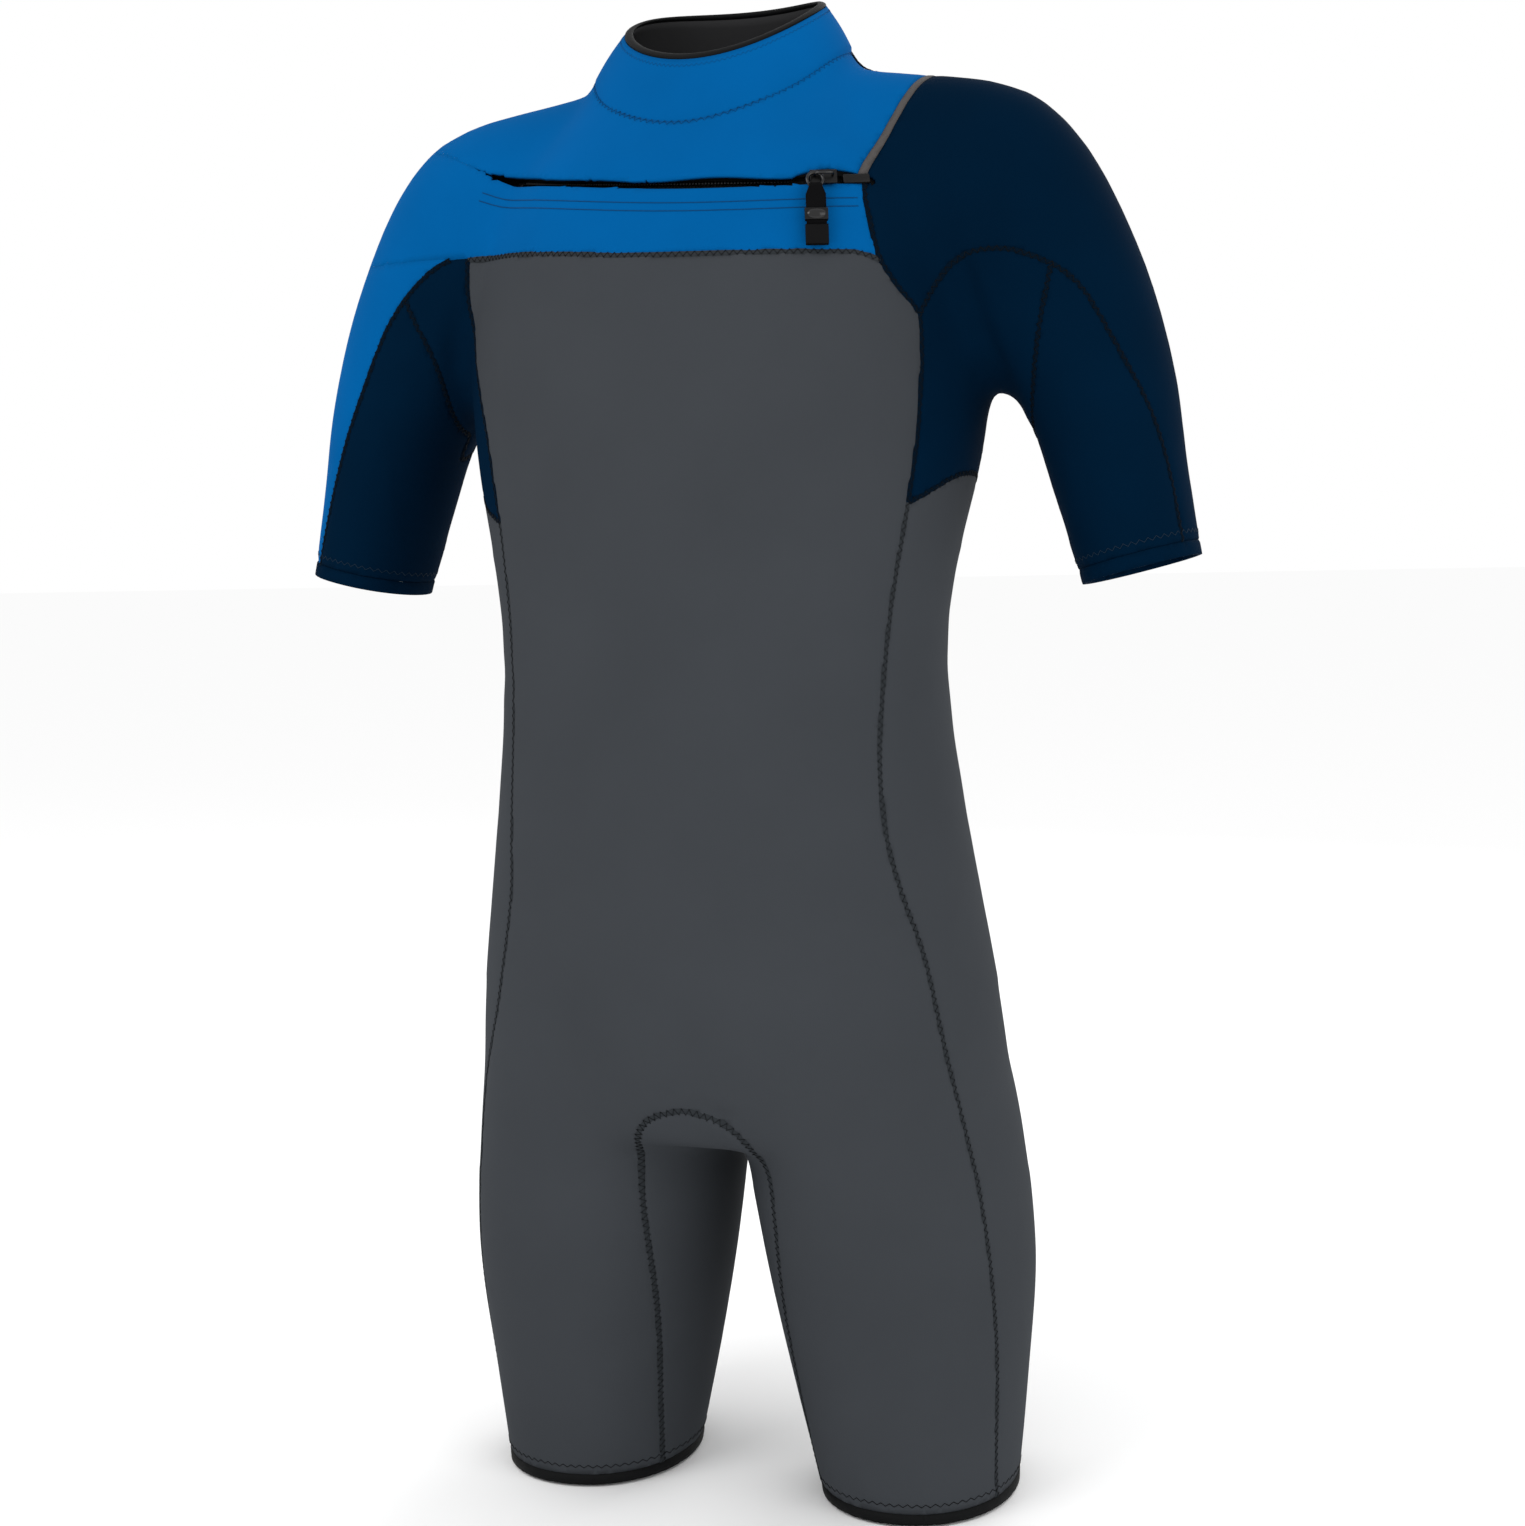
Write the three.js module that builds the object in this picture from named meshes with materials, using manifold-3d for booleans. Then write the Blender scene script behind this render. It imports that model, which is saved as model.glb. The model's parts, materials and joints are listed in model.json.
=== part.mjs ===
// A short-sleeved, above-knee wetsuit with a chest zip, in millimetres.
// +Z is up, the chest faces -Y, and the wearer's left is +X. The leg hems stand on Z = 0.
// The suit holds the shape of the body that wears it: the fabric panels are cut from one thin shell.
import {
  Box3,
  BoxGeometry,
  BufferAttribute,
  BufferGeometry,
  CatmullRomCurve3,
  CylinderGeometry,
  Euler,
  Group,
  MathUtils,
  Matrix4,
  Mesh,
  MeshStandardMaterial,
  Quaternion,
  TorusGeometry,
  TubeGeometry,
  Vector3,
} from 'three';
import { LoftGeometry } from 'three/addons/geometries/LoftGeometry.js';
import { mergeVertices } from 'three/addons/utils/BufferGeometryUtils.js';
import Module from 'manifold-3d';

const wasm = await Module();
wasm.setup();

// ---- driving sizes ----------------------------------------------------------------------------

const legLength = 262; // leg hem to crotch
const crotchToHip = 63;
const hipToWaist = 235;
const waistToArmpit = 140;
const armpitToChest = 75;
const chestToZip = 95;
const zipToNeck = 86;

const hipWidth = 364;
const hipDepth = 236;
const waistWidth = 302;
const waistDepth = 206;
const chestWidth = 354;
const chestDepth = 242;
const yokeWidth = 324; // across the torso at the zip
const yokeDepth = 214;
const neckWidth = 178;
const neckDepth = 138;

const legHemWidth = 132;
const legHemDepth = 160;
const legHemSpread = 117; // centre of the suit to the centre of a leg hem
const sleeveHemWidth = 76;
const sleeveHemDepth = 102;
const shoulderReach = 215; // centre of the suit to the middle of the upper arm
const shoulderDrop = 59; // from the zip to the middle of the upper arm, less the arm's own height
const sleeveLength = 181; // from the middle of the upper arm to the sleeve hem
const sleeveAngle = 76; // of the sleeve below the horizontal, in degrees

const neopreneThickness = 3;
const collarThickness = 2.2;
const collarLiningThickness = 1.5;
const collarGap = 0.9; // between the collar's two layers
const collarHeight = 45;
const collarRimShare = 0.1; // height of the rim, as a share of the collar's
const collarSink = 0.06; // the collar's foot, below its seam, as a share of its height
const seamGap = 0.34;
const fitGap = 0.4;
const bindingWidth = 5;
const legHemBand = 7;
const sleeveHemBand = 9;

const zipRadius = 221; // the zip lies on an arc around the chest
const zipSlant = 3.4; // degrees, up towards the wearer's right
const zipTilt = 10.2; // degrees, both ends of the arc higher than its middle
const skinLean = 32; // degrees between the arc's axis and the chest's slope
const zipBlindAngle = -38; // along the arc, degrees
const teethEndAngle = 18.4;
const sliderRestAngle = 23.4;
const zipEndAngle = 29.4;
const slitBlindAngle = -47;
const slitHalfGap = 3.4;

const sliderLength = 17;
const sliderWidth = 9.4;
const ringWire = 0.8; // radius of the slider's bridge and of the ring
const ringLength = 8.6; // from the ring's pivot to its bar
const webbingWidth = 12.4;
const eyeWidth = 8; // of the webbing where it is gathered through the ring
const webbingThickness = 0.9;
const pullLength = 37; // from the ring's bar to the end of the tab
const keeperDrop = 14; // from the ring's bar to the keeper
const keeperHeight = 7.5;
const tabHeight = 12.5;

// ---- heights that follow ----------------------------------------------------------------------

const crotchZ = legLength;
const hipZ = crotchZ + crotchToHip;
const waistZ = hipZ + hipToWaist;
const armpitZ = waistZ + waistToArmpit;
const chestZ = armpitZ + armpitToChest;
const zipZ = chestZ + chestToZip;
const neckZ = zipZ + zipToNeck;

// ---- small tools ------------------------------------------------------------------------------

const AXIS_X = new Vector3(1, 0, 0);
const AXIS_Y = new Vector3(0, 1, 0);
const MERGE = 1e-4;

// A closed three.js geometry as a solid that can be joined and cut.
function solid(geometry, matrix) {
  geometry.deleteAttribute('normal');
  geometry.deleteAttribute('uv');
  if (matrix) geometry.applyMatrix4(matrix);
  const merged = mergeVertices(geometry, MERGE);
  return new wasm.Manifold(
    new wasm.Mesh({
      numProp: 3,
      vertProperties: merged.attributes.position.array,
      triVerts: new Uint32Array(merged.index.array),
    }),
  );
}

function geometryOf(manifold) {
  const { vertProperties, triVerts } = manifold.getMesh();
  const geometry = new BufferGeometry();
  geometry.setAttribute('position', new BufferAttribute(vertProperties, 3));
  geometry.setIndex(new BufferAttribute(triVerts, 1));
  geometry.computeVertexNormals();
  return geometry;
}

const box = (width, depth, height, x, y, z) =>
  solid(new BoxGeometry(width, depth, height), new Matrix4().makeTranslation(x, y, z));

// Smooth rows between the given ones: a Catmull-Rom spline through each column.
function smoothRows(rows, steps) {
  const last = rows.length - 1;
  const out = [];
  for (let i = 0; i <= last * steps; i++) {
    const at = i / steps;
    const k = Math.min(Math.floor(at), last - 1);
    const f = at - k;
    const [p0, p1, p2, p3] = [rows[Math.max(k - 1, 0)], rows[k], rows[k + 1], rows[Math.min(k + 2, last)]];
    out.push(
      p1.map((value, c) => {
        const slope = (p2[c] - p0[c]) * f;
        const bend = (2 * p0[c] - 5 * value + 4 * p2[c] - p3[c]) * f * f;
        const twist = (3 * value - p0[c] - 3 * p2[c] + p3[c]) * f * f * f;
        return value + (slope + bend + twist) / 2;
      }),
    );
  }
  return out;
}

// A slightly squared ellipse in the plane of u and v.
function ring(centre, u, v, halfU, halfV, sides, squareness = 2.2) {
  const points = [];
  for (let i = 0; i < sides; i++) {
    const angle = (i / sides) * 2 * Math.PI;
    const [c, s] = [Math.cos(angle), Math.sin(angle)];
    const alongU = Math.sign(c) * Math.abs(c) ** (2 / squareness) * halfU;
    const alongV = Math.sign(s) * Math.abs(s) ** (2 / squareness) * halfV;
    points.push(centre.clone().addScaledVector(u, alongU).addScaledVector(v, alongV));
  }
  return points;
}

const loft = (sections) => solid(new LoftGeometry(sections, { capStart: true, capEnd: true }));

// ---- the worn shape: torso, sleeves and legs --------------------------------------------------

const TORSO_SIDES = 28;
const SLEEVE_SIDES = 18;
const LEG_SIDES = 20;

// height, half width, half depth, and the middle of the section in Y
const torsoRows = [
  [crotchZ, hipWidth / 2 + 4, hipDepth / 2 - 10, -6],
  [hipZ, hipWidth / 2, hipDepth / 2, -16],
  [waistZ, waistWidth / 2, waistDepth / 2, -34],
  [armpitZ, chestWidth / 2 - 4, chestDepth / 2 - 4, -18],
  [chestZ, chestWidth / 2, chestDepth / 2, -11],
  [zipZ, yokeWidth / 2, yokeDepth / 2, -2],
  [zipZ + 0.41 * zipToNeck, (yokeWidth + neckWidth) / 4 + 9, (yokeDepth + neckDepth) / 4 + 5, 2],
  [zipZ + 0.74 * zipToNeck, neckWidth / 2 + 17, neckDepth / 2 + 8, 4],
  [neckZ, neckWidth / 2, neckDepth / 2, 2],
  [neckZ + 22, neckWidth / 2 - 12, neckDepth / 2 - 4, -4],
];

// The sleeve runs from inside the shoulder, over it and down. Each row: distance out, Y, height,
// degrees below the horizontal, half width across the sleeve, half depth.
const armZ = zipZ - shoulderDrop - 14;
const sleeveCos = Math.cos(MathUtils.degToRad(sleeveAngle));
const sleeveSin = Math.sin(MathUtils.degToRad(sleeveAngle));
const alongSleeve = (share) => [
  shoulderReach + 17 + sleeveLength * share * sleeveCos,
  armZ - sleeveLength * share * sleeveSin,
];
const sleeveRow = (share, y, halfWidth, halfDepth) => {
  const [out, height] = alongSleeve(share);
  return [out, y, height, sleeveAngle, halfWidth, halfDepth];
};
const sleeveRows = [
  [shoulderReach - 155, 6, armZ + 72, 0, 84, 66],
  [shoulderReach - 95, 6, armZ + 68, 8, 80, 70],
  [shoulderReach - 39, 6, armZ + 53, 27, 80, 73],
  [shoulderReach, 4, armZ, 56, 65, 70],
  sleeveRow(0.35, 1, sleeveHemWidth / 2 + 11, sleeveHemDepth / 2 + 11),
  sleeveRow(0.67, -3, sleeveHemWidth / 2 + 5, sleeveHemDepth / 2 + 5),
  sleeveRow(1, -6, sleeveHemWidth / 2, sleeveHemDepth / 2),
];

// height, distance out, Y, half width, half depth
const legRows = [
  [0, legHemSpread, 8, legHemWidth / 2, legHemDepth / 2],
  [0.31 * legLength, legHemSpread - 5, 6, legHemWidth / 2 + 13, legHemDepth / 2 + 12],
  [0.63 * legLength, legHemSpread - 10, 2, hipWidth / 4 - 1, hipDepth / 2 - 15],
  [crotchZ, hipWidth / 4 + 5, -4, hipWidth / 4 + 1, hipDepth / 2 - 10],
  [hipZ - 10, hipWidth / 4 - 1, -12, hipWidth / 4 - 6, hipDepth / 2 - 12],
];

function torso(inset, bottom) {
  const sections = smoothRows(torsoRows, 2).map(([z, halfWidth, halfDepth, y]) =>
    ring(new Vector3(0, y, z), AXIS_X, AXIS_Y, halfWidth - inset, halfDepth - inset, TORSO_SIDES),
  );
  for (const point of sections[0]) point.z += bottom;
  return loft(sections);
}

function sleeve(side, inset, overrun) {
  const rows = smoothRows(sleeveRows, 2);
  const sections = rows.map(([out, y, z, angle, halfWidth, halfDepth], i) => {
    const turn = MathUtils.degToRad(angle);
    const past = i === rows.length - 1 ? overrun : 0;
    const centre = new Vector3(side * (out + past * sleeveCos), y, z - past * sleeveSin);
    const up = new Vector3(side * Math.sin(turn), 0, Math.cos(turn));
    return side > 0
      ? ring(centre, AXIS_Y, up, halfDepth - inset, halfWidth - inset, SLEEVE_SIDES, 2.1)
      : ring(centre, up, AXIS_Y, halfWidth - inset, halfDepth - inset, SLEEVE_SIDES, 2.1);
  });
  return loft(sections);
}

function leg(side, inset, overrun) {
  const rows = smoothRows(legRows, 2);
  const sections = rows.map(([z, out, y, halfWidth, halfDepth], i) =>
    ring(
      new Vector3(side * out, y, z - (i === 0 ? overrun : 0) - (i === rows.length - 1 ? inset : 0)),
      AXIS_X,
      AXIS_Y,
      halfWidth - inset,
      halfDepth - inset,
      LEG_SIDES,
      2.1,
    ),
  );
  return loft(sections);
}

function wornBody(inset, overrun) {
  return [sleeve(1, inset, overrun), sleeve(-1, inset, overrun), leg(1, inset, overrun), leg(-1, inset, overrun)]
    .reduce((body, limb) => body.add(limb), torso(inset, inset));
}

// ---- collar -----------------------------------------------------------------------------------

const COLLAR_SIDES = 26;
const collarBase = { halfWidth: neckWidth / 2 - 3, halfDepth: neckDepth / 2 + 9, y: -10, side: 6, rise: 33, dip: 21 };
const collarTop = { halfWidth: neckWidth / 2 - 21, halfDepth: neckDepth / 2 - 7, y: -4, side: 34, rise: 25, dip: 12 };

// A ring of the collar: level 0 at its base seam and 1 at its rim, lower at the throat than behind.
function collarRing(level, inset) {
  const between = (key) => collarBase[key] + (collarTop[key] - collarBase[key]) * level;
  const narrowed = (key) => collarBase[key] + (collarTop[key] - collarBase[key]) * Math.max(level, 0);
  const points = [];
  for (let i = 0; i < COLLAR_SIDES; i++) {
    const angle = (i / COLLAR_SIDES) * 2 * Math.PI;
    const back = Math.sin(angle);
    const height = between('side') + between('rise') * back - between('dip') * back * back;
    points.push(
      new Vector3(
        (narrowed('halfWidth') - inset) * Math.cos(angle),
        narrowed('y') + (narrowed('halfDepth') - inset) * back,
        neckZ + height,
      ),
    );
  }
  return points;
}

// A closed band of the collar: its section is a loop of [level, inset] corners, outside first.
function collarBand(corners) {
  const rings = corners.map(([level, inset]) => collarRing(level, inset));
  const band = new TorusGeometry(2, 1, corners.length, COLLAR_SIDES);
  const perCorner = COLLAR_SIDES + 1;
  for (let i = 0; i < band.attributes.position.count; i++) {
    const point = rings[Math.floor(i / perCorner) % corners.length][(i % perCorner) % COLLAR_SIDES];
    band.attributes.position.setXYZ(i, point.x, point.y, point.z);
  }
  return solid(band);
}

const collarTube = (levels, inset, thickness) =>
  collarBand([
    ...levels.map((level) => [level, inset]),
    ...levels.toReversed().map((level) => [level, inset + thickness]),
  ]);

// The hole that the collar stands in, straight up through the shoulders.
function neckHole() {
  const heights = [zipZ + 10, neckZ + collarHeight];
  return loft(
    heights.map((z) =>
      ring(
        new Vector3(0, collarBase.y, z),
        AXIS_X,
        AXIS_Y,
        collarBase.halfWidth + fitGap,
        collarBase.halfDepth + fitGap,
        COLLAR_SIDES,
        2,
      ),
    ),
  );
}

// ---- seams ------------------------------------------------------------------------------------

// Half the width of the suit at a height, from the torso or the outer side of a leg.
function halfWidthAt(z) {
  const rows =
    z < crotchZ
      ? smoothRows(legRows, 4).map(([height, out, , halfWidth]) => [height, out + halfWidth])
      : smoothRows(torsoRows, 4).map(([height, halfWidth]) => [height, halfWidth]);
  const above = Math.max(1, rows.findIndex(([height]) => height > z));
  const [lowZ, low] = rows[above - 1];
  const [highZ, high] = rows[above];
  return low + ((high - low) * (z - lowZ)) / (highZ - lowZ);
}

// A seam drawn on the front view: points of [x, z] on a smooth line, cut straight through from
// front to back between two values of Y.
function seam(points, fromY, toY) {
  const curve = new CatmullRomCurve3(
    points.map(([x, z]) => new Vector3(x, 0, z)),
    false,
    'centripetal',
  );
  const line = curve.getPoints((points.length - 1) * 2);
  const sections = line.map((point, i) => {
    const along = line[Math.min(i + 1, line.length - 1)].clone().sub(line[Math.max(i - 1, 0)]).normalize();
    const across = new Vector3(along.z, 0, -along.x).multiplyScalar(seamGap / 2);
    const front = point.clone().setY(fromY);
    const back = point.clone().setY(toY);
    return [
      front.clone().add(across),
      back.clone().add(across),
      back.clone().sub(across),
      front.clone().sub(across),
    ];
  });
  return loft(sections);
}

const FAR = 260;
const mirror = (points) => points.map(([x, z]) => [-x, z]);
const shares = (list) => list.map(([z, share]) => [share * halfWidthAt(z), z]);

// The long seam between the front and the side panels, as shares of the half width.
const frontSideSeam = shares([
  [-5, 0.975],
  [0.38 * legLength, 0.967],
  [0.82 * legLength, 0.945],
  [crotchZ + 38, 0.905],
  [hipZ + 55, 0.868],
  [hipZ + 115, 0.82],
  [waistZ - 54, 0.814],
  [waistZ, 0.85],
  [waistZ + 106, 0.862],
  [armpitZ + 10, 0.862],
  [chestZ - 10, 0.87],
]);
const backSideSeam = shares([
  [-5, 0.9],
  [0.82 * legLength, 0.85],
  [hipZ, 0.79],
  [waistZ, 0.76],
  [armpitZ, 0.8],
  [chestZ - 10, 0.87],
]);

// Above the armpit each side has its own line: the left one ends as the free edge of the flap.
const flapTopX = neckWidth / 2 + 59;
const leftFlapEdge = [
  [zipX(zipEndAngle) + 1, zipZ - 4],
  [zipX(zipEndAngle) + 11, zipZ + 27],
  [flapTopX - 12, zipZ + 47],
  [flapTopX, zipZ + 84],
];
const leftChestSeam = [
  ...shares([[chestZ - 10, 0.87], [chestZ + 15, 0.848]]),
  [yokeWidth / 2 - 33, zipZ - 54],
  [yokeWidth / 2 - 40, zipZ - 20],
  ...leftFlapEdge,
];
const rightChestSeam = mirror([
  ...shares([[chestZ - 10, 0.87], [chestZ + 32, 0.925]]),
  [yokeWidth / 2 + 1, zipZ - 33],
  [yokeWidth / 2 - 6, zipZ - 8],
  [yokeWidth / 2 - 15, zipZ + 16],
  [flapTopX - 4, zipZ + 40],
  [flapTopX, zipZ + 84],
]);

function zipX(angle) {
  return 9 + zipRadius * Math.sin(MathUtils.degToRad(angle));
}

// The arch over the front of each arm, from the chest to the outer edge of the sleeve.
function archSeam(startX, startZ) {
  const [midX, midZ] = alongSleeve(0.3);
  const [lowX, lowZ] = alongSleeve(0.7);
  const [hemX, hemZ] = alongSleeve(1.05);
  return [
    [startX, startZ],
    [(startX + shoulderReach) / 2 - 2, armZ + 25],
    [shoulderReach + 6, armZ + 17],
    [shoulderReach + 34, armZ],
    [midX + 33, midZ + 6],
    [lowX + 30, lowZ + 4],
    [hemX + 24, hemZ + 3],
  ];
}

// Between the sleeve and the piece under the arm, down through the armpit.
const leftArch = archSeam(leftChestSeam[1][0] - 3, chestZ + 2);
const rightFrontArch = archSeam(yokeWidth / 2, zipZ - 36);

const gussetSeam = [
  [shoulderReach + 10, armZ + 30],
  [shoulderReach + 9, armZ - 20],
  [shoulderReach - 10, armpitZ + 28],
  [shoulderReach - 17, armpitZ - 12],
];

const crotchSeam = [
  [legHemSpread - 57, -5],
  [legHemSpread - 65, 0.2 * legLength],
  [legHemSpread - 72, 0.5 * legLength],
  [legHemSpread - 72, 0.82 * legLength],
  [31, crotchZ + 8],
  [0, crotchZ + 18],
];
const closedCrotchSeam = [...crotchSeam, ...mirror(crotchSeam).reverse().slice(1)];

const chestPanelTop = [
  [-yokeWidth / 2 - 2, zipZ - 33],
  [-100, zipZ - 40],
  [0, zipZ - 46],
  [100, zipZ - 48],
  [yokeWidth / 2 - 32, zipZ - 50],
];
const yokeSeamEnd = yokeWidth / 2 - 24;
const backYokeSeam = [
  [-yokeSeamEnd, zipZ - 60],
  [0, zipZ - 75],
  [yokeSeamEnd, zipZ - 60],
];
// The lower edge of the piece under the arm rises from the side seams to the armpit.
const frontUnderarmHem = [
  [0.85 * halfWidthAt(waistZ + 104), waistZ + 104],
  [chestWidth / 2 - 20, waistZ + 117],
  [chestWidth / 2 + 12, armpitZ - 8],
];
const backUnderarmHem = [[0.73 * halfWidthAt(waistZ + 104), waistZ + 98], ...frontUnderarmHem];

const middleY = 0;
const crestY = 4;

function seamCuts() {
  const cuts = [
    seam(frontSideSeam, -FAR, -8),
    seam(mirror(frontSideSeam), -FAR, -8),
    seam(backSideSeam, 8, FAR),
    seam(mirror(backSideSeam), 8, FAR),
    seam(leftChestSeam, -FAR, crestY),
    seam(rightChestSeam, -FAR, crestY),
    seam(leftChestSeam, crestY - 1, FAR),
    seam(mirror(leftChestSeam), crestY - 1, FAR),
    seam(leftFlapEdge.map(([x, z]) => [x - bindingWidth, z]), -FAR, crestY),
    seam(chestPanelTop, -FAR, middleY),
    seam(backYokeSeam, middleY, FAR),
    seam(frontUnderarmHem, -FAR, crestY - 22),
    seam(mirror(frontUnderarmHem), -FAR, crestY - 22),
    seam(backUnderarmHem, crestY - 23, FAR),
    seam(mirror(backUnderarmHem), crestY - 23, FAR),
    seam(leftArch, -FAR, FAR),
    seam(mirror(rightFrontArch), -FAR, middleY),
    seam(mirror(leftArch), middleY - 1, FAR),
    seam(gussetSeam, -FAR, FAR),
    seam(mirror(gussetSeam), -FAR, FAR),
    seam(closedCrotchSeam, -FAR, FAR),
  ];
  for (const side of [-1, 1]) {
    const crestLength = flapTopX - collarBase.halfWidth + 12;
    cuts.push(box(crestLength, seamGap, 150, side * (flapTopX + 0.5 - crestLength / 2), crestY, neckZ - 20));
  }
  return cuts;
}

// ---- zip --------------------------------------------------------------------------------------

// The zip's own frame: its origin at the middle of the arc, its Z along the arc's axis.
const zipTurn = new Quaternion().setFromEuler(
  new Euler(MathUtils.degToRad(zipTilt), MathUtils.degToRad(zipSlant), 0, 'YXZ'),
);
const zipFront = new Vector3(7, -yokeDepth / 2 - 3.8, zipZ - 2);
const zipCentre = zipFront.clone().addScaledVector(AXIS_Y.clone().applyQuaternion(zipTurn), zipRadius);
const zipMatrix = new Matrix4().compose(zipCentre, zipTurn, new Vector3(1, 1, 1));

const lean = MathUtils.degToRad(skinLean);

// A strip along the arc: its section is a box of outward and upward limits, square to the chest.
function zipStrip(fromAngle, toAngle, inner, outer, low, high) {
  const steps = Math.max(2, Math.round((toAngle - fromAngle) / 5));
  const corners = [
    [outer, low],
    [inner, low],
    [inner, high],
    [outer, high],
  ];
  const sections = [];
  for (let i = 0; i <= steps; i++) {
    const angle = MathUtils.degToRad(fromAngle + ((toAngle - fromAngle) * i) / steps);
    sections.push(
      corners.map(([out, up]) => {
        const radius = zipRadius + out * Math.cos(lean) - up * Math.sin(lean);
        const height = out * Math.sin(lean) + up * Math.cos(lean);
        return new Vector3(radius * Math.sin(angle), -radius * Math.cos(angle), height);
      }),
    );
  }
  return solid(new LoftGeometry(sections, { capStart: true, capEnd: true }), zipMatrix);
}

const teethInner = -8.4;
const teethOuter = -6;
const teethNear = 2.1;
const teethFar = 4.4;
const tapeInner = -7.9;
const tapeOuter = -7.1;
const tapeWidth = 9;
const bayTop = 8.2;
const bayStartAngle = teethEndAngle + 0.4;
const garageStartAngle = 26.2;
const cutReach = 20;

const zipCuts = [
  zipStrip(slitBlindAngle, zipEndAngle + 2.4, -cutReach, cutReach, -slitHalfGap, slitHalfGap),
  zipStrip(bayStartAngle, zipEndAngle - 1.6, -cutReach, cutReach, 0, bayTop),
];

// ---- hem bands --------------------------------------------------------------------------------

// A block that holds everything below the top of the leg hem bands.
const legBandBlock = (top) => box(2 * FAR, 2 * FAR, 2 * legHemBand, 0, 0, top - legHemBand);

// A block square to a sleeve that holds everything past a distance from its hem.
function sleeveBandBlock(side, fromHem) {
  const height = 4 * sleeveHemBand;
  const [x, z] = alongSleeve(1 + (height / 2 - fromHem) / sleeveLength);
  const turn = new Matrix4().makeRotationY(-side * MathUtils.degToRad(90 - sleeveAngle));
  const width = 1.6 * sleeveHemDepth;
  return solid(
    new BoxGeometry(width, 2 * sleeveHemDepth, height),
    new Matrix4().makeTranslation(side * x, 0, z).multiply(turn),
  );
}

// ---- cut the shell into its panels ------------------------------------------------------------

const wholeShell = wornBody(0, 0).subtract(wornBody(neopreneThickness, 2));
const bands = wholeShell
  .intersect(
    [legBandBlock(legHemBand), sleeveBandBlock(1, sleeveHemBand), sleeveBandBlock(-1, sleeveHemBand)].reduce((a, b) =>
      a.add(b),
    ),
  )
  .decompose();
const panelShell = [
  legBandBlock(legHemBand + seamGap),
  sleeveBandBlock(1, sleeveHemBand + seamGap),
  sleeveBandBlock(-1, sleeveHemBand + seamGap),
  neckHole(),
  ...zipCuts,
  ...seamCuts(),
].reduce((body, cut) => body.subtract(cut), wholeShell);
const cutPieces = [...bands, ...panelShell.decompose()];

// Where each piece is found: a box that reaches into it, as centre and size.
const through = (x, z, size = 8) => ({ at: [x, 0, z], size: [size, 2 * FAR, size] });
const front = (x, z, size = 8) => ({ at: [x, -FAR / 2, z], size: [size, FAR, size] });
const behind = (x, z) => ({ at: [x, FAR / 2, z], size: [8, FAR, 8] });
const pairAt = (name, place) => ({
  [`left_${name}`]: place(1),
  [`right_${name}`]: place(-1),
});
const places = {
  ...pairAt('leg_hem_binding', (side) => through(side * legHemSpread, legHemBand / 2, legHemBand - 2)),
  ...pairAt('sleeve_hem', (side) => {
    const [x, z] = alongSleeve(1 - sleeveHemBand / 2 / sleeveLength);
    return through(side * x, z, sleeveHemBand / 2);
  }),
  ...pairAt('shoulder_panel', (side) => ({ at: [side * shoulderReach, 4, armZ + 100], size: [8, 8, 200] })),
  ...pairAt('sleeve_panel', (side) => {
    const [x, z] = alongSleeve(0.6);
    return through(side * x, z);
  }),
  ...pairAt('underarm_panel', (side) => through(side * (shoulderReach - 35), armZ - 45)),
  ...pairAt('side_panel', (side) => ({ at: [side * (waistWidth / 2), -34, waistZ], size: [40, 8, 8] })),
  entry_flap_panel: front(40, zipZ + 22),
  flap_edge_binding: front(leftFlapEdge[1][0] - bindingWidth / 2, leftFlapEdge[1][1], bindingWidth - 1),
  lower_chest_panel: front(0, zipZ - 25),
  front_body_panel: front(0, waistZ),
  back_body_panel: behind(0, waistZ),
  upper_back_yoke: behind(0, zipZ + 10),
  crotch_gusset: through(0, crotchZ + 6),
};

// The piece that fills most of the box at a place.
function pieceAt({ at, size }) {
  const probe = box(...size, ...at);
  const held = cutPieces.map((piece) => piece.intersect(probe).volume());
  return cutPieces[held.indexOf(Math.max(...held))];
}

// ---- collar pieces ----------------------------------------------------------------------------

const liningInset = collarThickness + collarGap;
const collarWall = liningInset + collarLiningThickness;
const rimStart = 1 + collarRimShare / 8;
const collarPieces = {
  collar_outer: collarTube([-collarSink, 0, 1], 0, collarThickness),
  collar_lining: collarTube([0, 1], liningInset, collarLiningThickness),
  collar_rim: collarTube([rimStart, rimStart + collarRimShare], -seamGap, collarWall + 2 * seamGap),
};

// ---- zip pieces -------------------------------------------------------------------------------

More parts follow.
